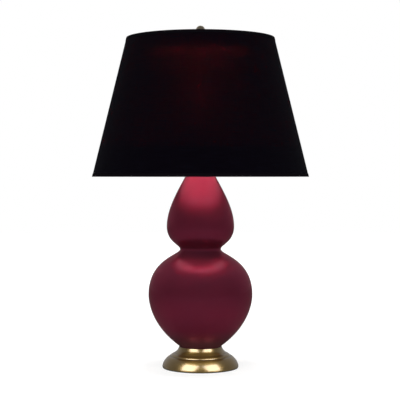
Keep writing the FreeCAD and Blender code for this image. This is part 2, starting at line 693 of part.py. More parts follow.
def make_switch_knob():
    start = Vector(0, -KNOB_START, shaft_axis_point.z)
    knob = cylinder_along(KNOB_RADIUS, start, front, KNOB_LENGTH)
    rims = [edge for edge in knob.Edges if isinstance(edge.Curve, Part.Circle)]
    rounded = [edge for edge in rims if edge.CenterOfMass.y < start.y - KNOB_LENGTH / 2]
    knob = knob.makeFillet(KNOB_ROUNDING, rounded)
    flutes = []
    for k in range(KNOB_FLUTES):
        turn = 2 * math.pi * k / KNOB_FLUTES
        place = start + Vector(KNOB_RADIUS * math.cos(turn), 0, KNOB_RADIUS * math.sin(turn))
        flutes.append(cylinder_along(KNOB_FLUTE_RADIUS, place, front, KNOB_LENGTH))
    bore = cylinder_along(SHAFT_RADIUS, start, front, KNOB_BORE_DEPTH)
    return knob.cut(flutes).cut(bore)


def make_switch_shaft():
    start = Vector(0, -SHAFT_DEPTH, shaft_axis_point.z)
    return cylinder_along(SHAFT_RADIUS, start, front, KNOB_START + KNOB_BORE_DEPTH - SHAFT_DEPTH)


def holder_pieces():
    screw_shell_outer = SCREW_SHELL_RADIUS + SCREW_SHELL_WALL
    screw_shell_top = level(SCREW_SHELL_LEVEL + SCREW_SHELL_HEIGHT)
    return {
        "socket_cap": make_socket_cap(),
        "cap_set_screw": make_set_screw(),
        "socket_liner": make_socket_liner(),
        "socket_shell": make_socket_shell(),
        "switch_block": make_switch_block(),
        "terminal_screws": make_terminal_screws(),
        "screw_shell": ring(SCREW_SHELL_RADIUS, screw_shell_outer, block_top, screw_shell_top),
        "centre_contact": make_centre_contact(),
        "ring_contact": make_ring_contact(),
        "switch_shaft": make_switch_shaft(),
        "switch_knob": make_switch_knob(),
    }


# ------------------------------------------------------------------ wiring inside the lamp
def twin_section(start):
    """A flat twin lead's outline in the XZ plane at its lower end, wider than it is thick."""
    half_flat = (LEAD_WIDTH - LEAD_THICKNESS) / 2
    half = LEAD_THICKNESS / 2

    def at(x, z):
        return start + Vector(x, 0, z)

    return Part.Wire([
        Part.LineSegment(at(-half_flat, -half), at(half_flat, -half)).toShape(),
        Part.Arc(at(half_flat, -half), at(half_flat + half, 0), at(half_flat, half)).toShape(),
        Part.LineSegment(at(half_flat, half), at(-half_flat, half)).toShape(),
        Part.Arc(at(-half_flat, half), at(-half_flat - half, 0), at(-half_flat, -half)).toShape(),
    ])


def make_inner_lead():
    """The lamp's own stretch of cord: in from the bushing, through the iron's slot, and up the rod."""
    start = Vector(0, skirt_radius_at(inlet_level) - INLET_INSIDE, inlet_level)
    route = [start, Vector(0, 0, inlet_level), Vector(0, 0, rod_top + LEAD_ABOVE_ROD)]
    path = path_wire(route, [LEAD_BEND])
    lead = path.makePipeShell([twin_section(start)], True, False)
    section = LEAD_THICKNESS * (LEAD_WIDTH - LEAD_THICKNESS) + math.pi * LEAD_THICKNESS ** 2 / 4
    print(f"inner_lead: bend {LEAD_BEND:.1f}, length {path.Length:.1f},",
          f"volume {lead.Volume:.0f} against {section * path.Length:.0f}")
    return lead


def make_lead_tails():
    """The two conductors, from the top of the rod out to the screws on the switch block."""
    tails = []
    lead_end = rod_top + LEAD_ABOVE_ROD
    under_screw = level(TERMINAL_LEVEL) - TERMINAL_HEAD_RADIUS
    screw_reach = BLOCK_SLIM_RADIUS + TERMINAL_HEAD / 2 + TAIL_RADIUS / 2
    for side in (-1, 1):
        begin = Vector(side * (LEAD_WIDTH - LEAD_THICKNESS) / 2, 0, lead_end)
        turn_out = begin + UP * (level(BLOCK_LEVEL) - lead_end) * TAIL_TURN
        turn_up = Vector(side * screw_reach, 0, turn_out.z + TAIL_RADIUS)
        route = [begin, turn_out, turn_up, Vector(side * screw_reach, 0, under_screw)]
        tails.append(wire_rod(route, [TAIL_BEND, TAIL_BEND], TAIL_RADIUS))
    return Part.makeCompound(tails)


def wiring_pieces():
    return {"inner_lead": make_inner_lead(), "lead_tails": make_lead_tails()}


# ------------------------------------------------------------------ bulb
def bulb_outline():
    """The glass, from inside its cap up to its top."""
    centre = bulb_tip + BULB_LENGTH - BULB_RADIUS
    cap_top = bulb_tip + BULB_CAP_LENGTH
    neck_radius = BULB_CAP_RADIUS - BULB_THREAD_DEPTH - BULB_CAP_WALL
    quarter = ROUND_HANDLE * BULB_RADIUS
    in_cap = upright_curve((neck_radius, cap_top - BULB_NECK_IN_CAP), (neck_radius, cap_top), STRAIGHT)
    neck = upright_curve(in_cap[-1], (BULB_RADIUS, centre), BULB_NECK_FULLNESS)
    top = centre + BULB_RADIUS
    dome = [neck[-1], (BULB_RADIUS, centre + quarter), (quarter, top), (0, top)]
    return [in_cap, neck, dome]


def make_bulb_cap():
    """The metal screw cap: a thin wall whose ribs stand for the rolled thread."""
    start = bulb_tip + BULB_GLAND_HEIGHT
    end = bulb_tip + BULB_CAP_LENGTH
    root = BULB_CAP_RADIUS - BULB_THREAD_DEPTH
    outline = Outline(root - BULB_CAP_WALL, start).line(root, start)
    rib = THREAD_PITCH * BULB_RIB
    for k in range(BULB_THREADS):
        low = start + THREAD_PITCH - rib + k * THREAD_PITCH
        outline.line(root, low)
        outline.arc((BULB_CAP_RADIUS, low + rib / 2), (root, low + rib))
    return outline.line(root, end).line(root - BULB_CAP_WALL, end).spin()


def make_bulb_gland():
    """The black glass that keeps the button and the ring apart from the cap."""
    bottom = bulb_tip + BULB_BUTTON_HEIGHT
    top = bulb_tip + BULB_GLAND_HEIGHT
    outline = Outline(0, bottom).line(BULB_GLAND_FOOT_RADIUS, bottom)
    outline.line(BULB_CAP_RADIUS - BULB_THREAD_DEPTH, top)
    solid = outline.line(0, top).spin()
    return solid.cut(ring(BULB_RING_INNER_RADIUS, BULB_RING_OUTER_RADIUS, bottom, bottom + BULB_RING_HEIGHT))


def make_bulb_contacts():
    button_top = bulb_tip + BULB_BUTTON_HEIGHT
    button = Outline(0, bulb_tip).line(BULB_BUTTON_TIP_RADIUS, bulb_tip)
    button = button.line(BULB_BUTTON_RADIUS, button_top).line(0, button_top).spin()
    ring_top = button_top + BULB_RING_HEIGHT
    contact_ring = ring(BULB_RING_INNER_RADIUS, BULB_RING_OUTER_RADIUS, button_top, ring_top)
    return Part.makeCompound([button, contact_ring])


def make_bulb_stem():
    """The glass mount inside, flared to the inside of the bulb's neck where it is sealed to it."""
    flare = BULB_CAP_RADIUS - BULB_THREAD_DEPTH - BULB_CAP_WALL - BULB_WALL
    outline = Outline(0, stem_bottom).line(flare, stem_bottom).line(flare, stem_bottom + STEM_SEAL)
    outline.line(STEM_RADIUS, stem_bottom + STEM_FLARE).line(STEM_RADIUS, stem_top - STEM_TAPER)
    return outline.line(STEM_TIP_RADIUS, stem_top).line(0, stem_top).spin()


def make_bulb_filaments(stem):
    """Three supports that stand in the stem, and the two filaments that hang between them."""
    top = stem_top + FILAMENT_RISE
    pieces = []
    for side in (-1, 0, 1):
        foot = Vector(side * SUPPORT_SPREAD, 0, stem_top - SUPPORT_RADIUS)
        reach = Vector(side * FILAMENT_HALF_SPAN, 0, top) - foot
        pieces.append(cylinder_along(SUPPORT_RADIUS, foot, reach, reach.Length).cut(stem))
    for side in (-1, 1):
        reach = FILAMENT_HALF_SPAN - 2 * SUPPORT_RADIUS
        start = Vector(side * SUPPORT_RADIUS * 2, 0, top - FILAMENT_RADIUS)
        pieces.append(cylinder_along(FILAMENT_RADIUS, start, Vector(side, 0, 0), reach - SUPPORT_RADIUS * 2))
    return Part.makeCompound(pieces)


def bulb_pieces():
    stem = make_bulb_stem()
    return {
        "bulb_glass": shell_of(bulb_outline(), BULB_WALL),
        "bulb_cap": make_bulb_cap(),
        "bulb_gland": make_bulb_gland(),
        "bulb_contacts": make_bulb_contacts(),
        "bulb_stem": stem,
        "bulb_filaments": make_bulb_filaments(stem),
    }


# ------------------------------------------------------------------ harp
shoulder_level = saddle_bottom + SADDLE_SHOULDER
tip_top = shoulder_level + SADDLE_TIP
leg_offset = SADDLE_HALF_SPAN + SADDLE_THICKNESS / 2 + HARP_WIRE_RADIUS
sleeve_offset = (SADDLE_HALF_SPAN - SADDLE_THICKNESS / 2 + leg_offset + HARP_WIRE_RADIUS) / 2


def make_harp_saddle():
    """A flat strip bent up at both ends, with a narrow tip on each for the harp's leg."""
    half = SADDLE_THICKNESS / 2
    middle = saddle_bottom + half
    route = [Vector(0, 0, middle), Vector(SADDLE_HALF_SPAN, 0, middle), Vector(SADDLE_HALF_SPAN, 0, tip_top)]
    path = path_wire(route, [SADDLE_BEND])
    corners = [Vector(0, y, z) for y, z in ((-SADDLE_WIDTH / 2, -half), (SADDLE_WIDTH / 2, -half),
                                            (SADDLE_WIDTH / 2, half), (-SADDLE_WIDTH / 2, half))]
    section = Part.makePolygon([corner + route[0] for corner in corners + corners[:1]])
    right = path.makePipeShell([section], True, False)
    spare = (SADDLE_WIDTH - SADDLE_TIP_WIDTH) / 2
    for y in (-SADDLE_WIDTH / 2, SADDLE_TIP_WIDTH / 2):
        corner = Vector(SADDLE_HALF_SPAN - SADDLE_THICKNESS, y, shoulder_level)
        right = right.cut(Part.makeBox(SADDLE_THICKNESS * 2, spare, SADDLE_TIP, corner))
    left = right.mirror(AXIS_POINT, Vector(1, 0, 0))
    return right.fuse(left).removeSplitter().cut(ring(0, rod_hole_radius, saddle_bottom, holder_bottom))


def make_harp_bow():
    """One wire: two upright legs that flare out, and a half circle over the top with the stud's eye."""
    rise = HARP_FLARE_HEIGHT
    spread = HARP_HALF_WIDTH - leg_offset
    flare_bend = (spread ** 2 + rise ** 2) / (4 * abs(spread))
    flare_start = shoulder_level + HARP_STRAIGHT
    flare_end = flare_start + rise
    reach = flare_bend * spread / rise
    points = [Vector(leg_offset, 0, shoulder_level + FIT_GAP), Vector(leg_offset, 0, flare_start + reach),
              Vector(HARP_HALF_WIDTH, 0, flare_end - reach), Vector(HARP_HALF_WIDTH, 0, harp_top),
              Vector(0, 0, harp_top)]
    right = wire_rod(points, [flare_bend, flare_bend, HARP_HALF_WIDTH], HARP_WIRE_RADIUS)
    left = right.mirror(AXIS_POINT, Vector(1, 0, 0))
    eye_radius = STUD_COLLAR_RADIUS + EYE_MARGIN
    eye = ring(0, eye_radius, eye_bottom, eye_top)
    above = ring(0, eye_radius, eye_top, eye_top + HARP_WIRE_RADIUS)
    below = ring(0, eye_radius, eye_bottom - HARP_WIRE_RADIUS, eye_bottom)
    hole = ring(0, STUD_PIN_RADIUS + RUNNING_GAP, eye_bottom, eye_top)
    return right.fuse([left, eye]).cut(above).cut(below).cut(hole)


def make_harp_sleeve(side):
    centre = Vector(side * sleeve_offset, 0, shoulder_level)
    tube = Part.makeCylinder(SLEEVE_RADIUS, SLEEVE_HEIGHT, centre)
    return tube.cut(Part.makeCylinder(SLEEVE_BORE_RADIUS, SLEEVE_HEIGHT, centre))


def harp_pieces():
    return {
        "harp_saddle": make_harp_saddle(),
        "harp_bow": make_harp_bow(),
        "harp_sleeve_left": make_harp_sleeve(-1),
        "harp_sleeve_right": make_harp_sleeve(1),
    }


# ------------------------------------------------------------------ shade
wall_slope = (SHADE_BOTTOM_RADIUS - SHADE_TOP_RADIUS) / SHADE_HEIGHT
wall_stretch = math.hypot(1, wall_slope)


def shade_radius(height, depth=0.0):
    """The shade's radius at a height, a depth into its wall from the outer face of its edge tapes."""
    return SHADE_TOP_RADIUS + (shade_top - height) * wall_slope - depth * wall_stretch


def cone_band(bottom, top, outer_depth, inner_depth):
    """A tapered band of the shade's wall between two heights and two depths."""
    outline = Outline(shade_radius(bottom, inner_depth), bottom)
    outline.line(shade_radius(bottom, outer_depth), bottom).line(shade_radius(top, outer_depth), top)
    return outline.line(shade_radius(top, inner_depth), top).spin()


cover_depth = TAPE_THICKNESS
liner_depth = cover_depth + COVER_THICKNESS
ring_depth = liner_depth + LINER_THICKNESS
wall_top = shade_top - TAPE_THICKNESS
wall_bottom = shade_bottom + TAPE_THICKNESS


def ring_middle(edge, into):
    """Where the wire of an edge's ring lies: tucked under the edge, just clear of the sloping liner."""
    height = edge + into * (TAPE_THICKNESS + RING_WIRE_RADIUS)
    return shade_radius(height + RING_WIRE_RADIUS, ring_depth) - RING_WIRE_RADIUS, height


def edge_ring(edge, into):
    radius, height = ring_middle(edge, into)
    return Part.makeTorus(radius, RING_WIRE_RADIUS, point(0, height))


def edge_tape(edge, into):
    """Cloth tape folded over an edge: a band outside, a web over the edge, and a fold inside round the ring."""
    web_end = edge + into * TAPE_THICKNESS
    ring_end = web_end + into * 2 * RING_WIRE_RADIUS
    band_end = edge + into * TAPE_WIDTH
    hem_end = band_end + into * TAPE_THICKNESS
    fold_radius = ring_middle(edge, into)[0] - RING_WIRE_RADIUS
    outline = Outline(shade_radius(edge), edge).line(shade_radius(band_end), band_end)
    outline.line(shade_radius(band_end, cover_depth), band_end)
    outline.line(shade_radius(web_end, cover_depth), web_end)
    outline.line(fold_radius, web_end).line(fold_radius, ring_end)
    outline.line(shade_radius(band_end, ring_depth), band_end)
    outline.line(shade_radius(hem_end, ring_depth), hem_end)
    outline.line(fold_radius - TAPE_THICKNESS, ring_end)
    return outline.line(fold_radius - TAPE_THICKNESS, edge).spin()


def make_spider_arms(washer, top_ring):
    """Three rods: level from the washer, then rising to the ring in the top edge."""
    arm_level = stud_seat + SPIDER_WASHER_THICKNESS / 2
    ring_reach, ring_level = ring_middle(shade_top, -1)
    knee = Vector(ring_reach - SPIDER_RISE_LENGTH, 0, arm_level)
    route = [Vector(SPIDER_WASHER_RADIUS - SPIDER_WELD, 0, arm_level), knee, Vector(ring_reach, 0, ring_level)]
    arm = wire_rod(route, [SPIDER_BEND], SPIDER_WIRE_RADIUS).cut(washer).cut(top_ring)
    arm = max(arm.Solids, key=lambda solid: solid.Volume)
    arms = []
    for k in range(SPIDER_ARMS):
        turned = arm.copy()
        turned.rotate(AXIS_POINT, UP, 90 + FULL_TURN * k / SPIDER_ARMS)
        arms.append(turned)
    return Part.makeCompound(arms)


def make_harp_stud():
    """The swivel stud: riveted in the harp's eye, with a collar for the spider and a thread for the finial."""
    rivet_top = eye_bottom - FIT_GAP
    outline = Outline(0, rivet_top - STUD_RIVET).line(STUD_RIVET_RADIUS, rivet_top - STUD_RIVET)
    outline.line(STUD_RIVET_RADIUS, rivet_top).line(STUD_PIN_RADIUS, rivet_top)
    outline.line(STUD_PIN_RADIUS, collar_bottom).line(STUD_COLLAR_RADIUS, collar_bottom)
    outline.line(STUD_COLLAR_RADIUS, stud_seat).line(STUD_THREAD_RADIUS, stud_seat)
    thread_top = stud_seat + STUD_THREAD_LENGTH
    outline.line(STUD_THREAD_RADIUS, thread_top - STUD_POINT)
    return outline.line(STUD_THREAD_RADIUS - STUD_POINT, thread_top).line(0, thread_top).spin()


def shade_pieces():
    washer = ring(STUD_THREAD_RADIUS + FIT_GAP, SPIDER_WASHER_RADIUS, stud_seat, washer_top)
    top_ring = edge_ring(shade_top, -1)
    spider_arms = make_spider_arms(washer, top_ring)
    return {
        "harp_stud": make_harp_stud(),
        "spider_washer": washer,
        "spider_arms": spider_arms,
        "shade_top_ring": top_ring,
        "shade_bottom_ring": edge_ring(shade_bottom, 1),
        "shade_cover": cone_band(wall_bottom, wall_top, cover_depth, liner_depth),
        "shade_liner": cone_band(wall_bottom, wall_top, liner_depth, ring_depth),
        "shade_top_tape": edge_tape(shade_top, -1).cut(spider_arms),
        "shade_bottom_tape": edge_tape(shade_bottom, 1),
    }


# ------------------------------------------------------------------ finial
ball_seat = washer_top + FINIAL_BASE_HEIGHT
ball_flat = ball_seat + FIT_GAP
ball_centre = ball_flat + math.sqrt(FINIAL_BALL_RADIUS ** 2 - FINIAL_SEAT_RADIUS ** 2)


def make_finial_base():
    """The threaded foot of the finial, with a spigot for the ball."""
    bead_bottom = ball_seat - FINIAL_BEAD_HEIGHT
    foot_top = washer_top + FINIAL_FOOT
    outline = Outline(0, washer_top).line(FINIAL_BASE_RADIUS, washer_top).line(FINIAL_BASE_RADIUS, foot_top)
    neck_foot, neck_top = (FINIAL_BASE_RADIUS, foot_top), (FINIAL_NECK_RADIUS, bead_bottom)
    outline.bezier(drawn_in_curve(neck_foot, neck_top, FINIAL_NECK_HANDLES))
    outline.arc((FINIAL_BEAD_RADIUS, bead_bottom + FINIAL_BEAD_HEIGHT / 2), (FINIAL_NECK_RADIUS, ball_seat))
    outline.line(SPIGOT_RADIUS, ball_seat).line(SPIGOT_RADIUS, ball_seat + SPIGOT_HEIGHT)
    solid = outline.line(0, ball_seat + SPIGOT_HEIGHT).spin()
    thread_top = stud_seat + STUD_THREAD_LENGTH
    return solid.cut(ring(0, STUD_THREAD_RADIUS + FIT_GAP, washer_top, thread_top + FINIAL_BORE_END))


def make_finial_ball():
    ball = Part.makeSphere(FINIAL_BALL_RADIUS, point(0, ball_centre))
    ball = ball.cut(ring(0, FINIAL_BALL_RADIUS, ball_centre - FINIAL_BALL_RADIUS, ball_flat))
    return ball.cut(ring(0, SPIGOT_RADIUS + RUNNING_GAP, ball_flat, ball_seat + SPIGOT_HEIGHT + FIT_GAP))


def finial_pieces():
    return {"finial_base": make_finial_base(), "finial_ball": make_finial_ball()}


# ------------------------------------------------------------------ files
def main():
    pieces = {}
    for group in (base_pieces, body_pieces, holder_pieces, wiring_pieces, bulb_pieces, harp_pieces,
                  shade_pieces, finial_pieces):
        pieces.update(group())
    os.makedirs("parts", exist_ok=True)
    for name, shape in pieces.items():
        shape.exportStep(f"parts/{name}.step")
        sound = shape.isValid() and all(solid.isClosed() for solid in shape.Solids)
        print(f"{name}: {len(shape.Solids)} solid(s), {shape.Volume:.1f} mm3, {'sound' if sound else 'FAULTY'}")


main()
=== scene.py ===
"""Double gourd table lamp: its finished surfaces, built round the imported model, and the stage that shows it."""

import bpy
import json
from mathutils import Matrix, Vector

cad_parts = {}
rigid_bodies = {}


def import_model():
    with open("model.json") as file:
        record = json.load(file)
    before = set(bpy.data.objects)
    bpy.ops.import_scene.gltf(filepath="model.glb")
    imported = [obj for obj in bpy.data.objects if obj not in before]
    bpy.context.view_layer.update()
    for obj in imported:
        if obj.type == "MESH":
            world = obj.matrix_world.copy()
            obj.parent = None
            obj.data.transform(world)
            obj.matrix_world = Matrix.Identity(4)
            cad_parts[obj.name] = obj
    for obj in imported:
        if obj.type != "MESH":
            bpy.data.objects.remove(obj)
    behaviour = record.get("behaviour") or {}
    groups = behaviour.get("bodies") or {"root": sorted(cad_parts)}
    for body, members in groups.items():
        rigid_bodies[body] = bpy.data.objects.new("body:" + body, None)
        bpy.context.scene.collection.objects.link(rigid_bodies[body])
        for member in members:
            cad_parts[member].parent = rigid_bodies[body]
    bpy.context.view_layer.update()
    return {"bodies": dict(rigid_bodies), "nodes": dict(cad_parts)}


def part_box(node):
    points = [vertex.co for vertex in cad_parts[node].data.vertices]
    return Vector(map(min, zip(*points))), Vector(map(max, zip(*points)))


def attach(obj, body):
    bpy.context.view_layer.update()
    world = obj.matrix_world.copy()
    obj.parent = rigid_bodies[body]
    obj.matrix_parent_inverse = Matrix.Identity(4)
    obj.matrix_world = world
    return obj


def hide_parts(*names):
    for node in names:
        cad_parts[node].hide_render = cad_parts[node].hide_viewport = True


bl_info = {
    "name": "Double gourd table lamp",
    "version": (1, 0, 0),
    "blender": (4, 5, 0),
    "location": "3D View > Sidebar > Gourd lamp",
    "description": "Builds the glazed body, brass base, cloth shade, bulb and finial of a double gourd table lamp",
    "category": "Object",
}

import json
import math

import bpy
import numpy as np
from mathutils import Vector

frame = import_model()

MM = 0.001
FULL_TURN = 2 * math.pi
ROUND_HANDLE = 0.5523       # handle of a cubic that draws a quarter circle

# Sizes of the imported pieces, in millimetres, so that the finished surfaces lie on them. A pair is a curve's two
# handles, as shares of its height or of how far it draws in and rises.
FOOT_RADIUS, FOOT_EDGE, NECK_RADIUS = 45.8, 1.4, 20.0
GLOBE_RADIUS, GLOBE_LEVEL = 116.0, 117.5
WAIST_RADIUS, WAIST_LEVEL = 45.5, 218.3
CROWN_RADIUS, CROWN_LEVEL = 75.2, 269.1
FLANK_SLOPE, NECK_SLOPE = 1.385, 0.48
FLANK, SHOULDER, UNDERCUT, TEARDROP = (0.387, 0.166), (0.777, 0.126), (0.195, 0.696), (0.341, 0.326)
GOURD_WALL, GOURD_FLOOR, MOUTH_RADIUS, ROD_HOLE = 6.0, 9.0, 14.0, 5.2

BASE_RADIUS, RIM_HEIGHT, RIM_TUCK = 85.1, 1.2, 0.5
SKIRT_TOP, LEDGE, ROLL_TOP = (68.4, 24.8), (67.2, 24.98), (58.3, 31.3)      # radius, height above the felt
SKIRT_HANDLES, ROLL_HANDLES = ((0.0, 0.38), (0.385, 0.08)), ((0.12, 0.45), (0.45, 0.20))
COLLAR_RADIUS, COVE_HANDLES = 47.7, ((0.40, 0.27), (0.20, 0.60))
BASE_WALL, LIP_DEPTH, PLATE_HOLE, INLET_RADIUS = 1.5, 2.3, 5.4, 4.4

TAPE_WALL, COVER_WALL, LINER_WALL = 0.5, 0.8, 0.7
TAPE_WIDTH, TAPE_GAP, RING_WIRE = 7.0, 0.05, 1.5

FINIAL_RADIUS, FINIAL_FOOT, FINIAL_NECK, SPIGOT_RADIUS, SPIGOT_HEIGHT = 8.5, 2.2, 4.6, 2.5, 5.0
BALL_RADIUS, BALL_SEAT, BALL_BORE = 10.4, 4.7, 2.6
BULB_RADIUS, BULB_NECK, BULB_WALL, BULB_IN_CAP, BULB_HANDLES = 33.3, 11.93, 0.8, 3.0, (0.42, 0.42)

# Places of finishes on the lamp, in metres
SHADE_GIRTH = FULL_TURN * 0.203                 # round the middle of the shade, the width of the cloth's map
THIN_LIP = (0.4475, 0.4525)                     # the glaze thins between these levels at the mouth
# painted shade, with some tarnish, in the base's creases and along its bottom edge
CREASE_SHADES = ((0.0264, 0.0010, 1.0), (0.0334, 0.0014, 0.5), (0.0015, 0.0016, 0.7))    # level, half-width, darkness
BULB_LEVEL_SHADE = (0.50, 0.62)                           # the lining is painted darker from the one level to the other: painted shade where the bulb lights it most

# Colours of details
THIN_GLAZE, FLECK = (0.115, 0.035, 0.022), (0.012, 0.002, 0.003)
CLAY, SATIN = (0.42, 0.33, 0.24), (0.105, 0.022, 0.034)
BOARD_DARK, BOARD_LIGHT, BOARD_PAINTED_SHADE = (0.78, 0.74, 0.68), (0.84, 0.81, 0.76), (0.60, 0.52, 0.42)
LINING_LOWER_BLACK, BOARD_GLOW = (0.010, 0.009, 0.010), (0.95, 0.85, 0.7, 1.0)
TAPE_DARK, TAPE_LIGHT = (0.0022, 0.0014, 0.0024), (0.0048, 0.0036, 0.0056)
CLOTH_SHEEN = (0.7, 0.8, 1.0, 1.0)
BULB_COOL, BULB_WARM, BULB_SKIN = (0.55, 0.32, 0.16), (1.0, 0.83, 0.6), (0.9, 0.88, 0.84, 1.0)
BULB_LIGHT = (1.0, 0.93, 0.84)

# Lights of the stage, in metres and degrees
SOFT_LIGHTS = (("soft_left", (-1.5, -2.1, 1.5), 1.0), ("soft_right", (1.7, -2.0, 1.3), 0.9),
               ("soft_back", (0.4, 2.2, 1.9), 0.6))                         # name, place, share of the power
SOFT_SIZE, LAMP_MIDDLE = 1.5, (0, 0, 0.38)
WINDOWS = (("window_left", -38.0), ("window_right", 41.0))                  # name, turn round the lamp from the front
WINDOW_SIZE, WINDOW_TALL, WINDOW_AWAY, WINDOW_MIDDLE, WINDOW_AIM = 1.3, 1.8, 1.5, 0.92, (0, 0, 0.03)
TOP_LIGHT_SIZE, TOP_LIGHT_LEVEL = 0.20, 0.712
FLOOR_HALF, FLOOR_LEVEL = 6.0, -0.0002
LENS, SENSOR, EYE_ASIDE = 104.87, 36.0, -0.001


def span(node):
    """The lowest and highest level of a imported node, in millimetres."""
    low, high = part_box(node)
    return low.z / MM, high.z / MM


def reach(node):
    """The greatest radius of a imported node, in millimetres."""
    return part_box(node)[1].x / MM


# ------------------------------------------------------------------ outlines, in millimetres: radius, height
def cubic(poles, count=80):
    """Points of a cubic: its four poles weighted by the Bernstein polynomials of a parameter from 0 to 1."""
    t = np.linspace(0, 1, count)[:, None]
    a, b, c, d = (np.asarray(pole, float) for pole in poles)
    return (1 - t) ** 3 * a + 3 * t * (1 - t) ** 2 * b + 3 * t ** 2 * (1 - t) * c + t ** 3 * d


def upright(low, high, handles):
    """A cubic that leaves low and reaches high upright, with handles that are shares of its height."""
    height = high[1] - low[1]
    return cubic([low, (low[0], low[1] + handles[0] * height), (high[0], high[1] - handles[1] * height), high])


def drawn_in(low, high, handles):
    """A cubic from low up to high, whose handles are shares of how far it draws in and how far it rises."""
    draw, rise = low[0] - high[0], high[1] - low[1]
    first, second = handles
    return cubic([low, (low[0] - first[0] * draw, low[1] + first[1] * rise),
                  (high[0] + second[0] * draw, high[1] - second[1] * rise), high])


def joined(*parts):
    """One outline out of several, with repeated points dropped."""
    path = np.concatenate([np.atleast_2d(np.asarray(part, float)) for part in parts])
    apart = np.linalg.norm(np.diff(path, axis=0), axis=1) > 1e-5
    return path[np.r_[True, apart]]


def even(path, step, closed):
    """The outline at even steps of its length."""
    if closed:
        path = np.vstack([path, path[:1]])
    length = np.r_[0, np.cumsum(np.linalg.norm(np.diff(path, axis=0), axis=1))]
    at = np.linspace(0, length[-1], max(8, int(length[-1] / step)), endpoint=not closed)
    return np.column_stack([np.interp(at, length, path[:, k]) for k in (0, 1)])


def eased(path, radius, closed):
    """The outline with its corners rounded: each point becomes a bell-weighted mean of its neighbours."""
    path = even(path, radius / 4, closed)
    bell = np.hanning(11)[1:-1]
    half = len(bell) // 2
    if closed:
        padded = np.vstack([path[-half:], path, path[:half]])
    else:
        padded = np.vstack([2 * path[0] - path[half:0:-1], path, 2 * path[-1] - path[-2:-half - 2:-1]])
    return np.column_stack([np.convolve(padded[:, k], bell / bell.sum(), "valid") for k in (0, 1)])


def spaced(path, rows, closed):
    """Rows of the outline, closer where it bends: each step takes an even share of length plus turning."""
    ring = np.vstack([path, path[:1]]) if closed else path
    step = np.diff(ring, axis=0)
    size = np.linalg.norm(step, axis=1)
    heading = np.unwrap(np.arctan2(step[:, 1], step[:, 0]))
    turning = np.abs(np.r_[0, np.diff(heading)])
    share = size / size.sum() + 0.9 * turning / max(turning.sum(), 1e-9)
    total = np.r_[0, np.cumsum(share)]
    at = np.linspace(0, total[-1], rows, endpoint=not closed)
    return np.column_stack([np.interp(at, total, ring[:, k]) for k in (0, 1)])


def inward(path, distance):
    """The outline moved square to itself, towards the axis."""
    tangent = np.gradient(path, axis=0)
    tangent /= np.linalg.norm(tangent, axis=1)[:, None]
    return path + distance * np.column_stack([-tangent[:, 1], tangent[:, 0]])


def anticlockwise(path):
    """The closed outline in the order that turns its faces outwards."""
    r, z = path[:, 0], path[:, 1]
    area = np.sum(r * np.roll(z, -1) - np.roll(r, -1) * z)
    return path if area > 0 else path[::-1]


# ------------------------------------------------------------------ surfaces
def grid_mesh(name, points, wrap_rows=False, wrap_columns=True, poles=(None, None), uv=None):
    """A mesh from rows x columns of points in metres: neighbours make squares, and a pole closes an end in a fan.
    Its map, where it has one, is uv: the width of the columns together, and each row's place along them."""
    rows, columns = points.shape[:2]
    number = np.arange(rows * columns).reshape(rows, columns)
    low = number if wrap_rows else number[:-1]
    high = np.roll(number, -1, axis=0) if wrap_rows else number[1:]
    turn = (lambda a: np.roll(a, -1, axis=1)) if wrap_columns else (lambda a: a[:, 1:])
    here = (lambda a: a) if wrap_columns else (lambda a: a[:, :-1])
    quads = np.stack([here(low), turn(low), turn(high), here(high)], axis=-1).reshape(-1, 4)
    vertices = points.reshape(-1, 3)
    fans = []
    for pole, ring, order in ((poles[0], number[0], -1), (poles[1], number[-1], 1)):
        if pole is not None:
            vertices = np.vstack([vertices, pole])
            pairs = np.column_stack([ring, np.roll(ring, -1)])[:, ::order]
            fans.append(np.column_stack([np.full(columns, len(vertices) - 1), pairs]))
    triangles = np.concatenate(fans) if fans else np.zeros((0, 3), int)
    corners = np.concatenate([quads.ravel(), triangles.ravel()]).astype(np.int32)
    sizes = np.r_[np.full(len(quads), 4), np.full(len(triangles), 3)]
    starts = np.r_[0, np.cumsum(sizes)[:-1]].astype(np.int32)
    mesh = bpy.data.meshes.new(name)
    mesh.vertices.add(len(vertices))
    mesh.vertices.foreach_set("co", vertices.astype(np.float32).ravel())
    mesh.loops.add(len(corners))
    mesh.loops.foreach_set("vertex_index", corners)
    mesh.polygons.add(len(sizes))
    mesh.polygons.foreach_set("loop_start", starts)
    mesh.polygons.foreach_set("use_smooth", np.ones(len(sizes), bool))
    if uv is not None:
        across = np.linspace(0, 1, columns + 1) * uv[0]
        along = np.r_[uv[1], uv[1][-1]] if wrap_rows else uv[1]
        last = rows if wrap_rows else rows - 1
        i, j = np.meshgrid(np.arange(last), np.arange(columns if wrap_columns else columns - 1), indexing="ij")
        u = np.stack([across[j], across[j + 1], across[j + 1], across[j]], axis=-1)
        v = np.stack([along[i], along[i], along[i + 1], along[i + 1]], axis=-1)
        flat = np.zeros((len(corners), 2))
        flat[:u.size, 0] = u.ravel()
        flat[:v.size, 1] = v.ravel()
        layer = mesh.uv_layers.new(name="weave")
        layer.uv.foreach_set("vector", flat.astype(np.float32).ravel())
    mesh.update(calc_edges=True)
    mesh.validate()
    return mesh


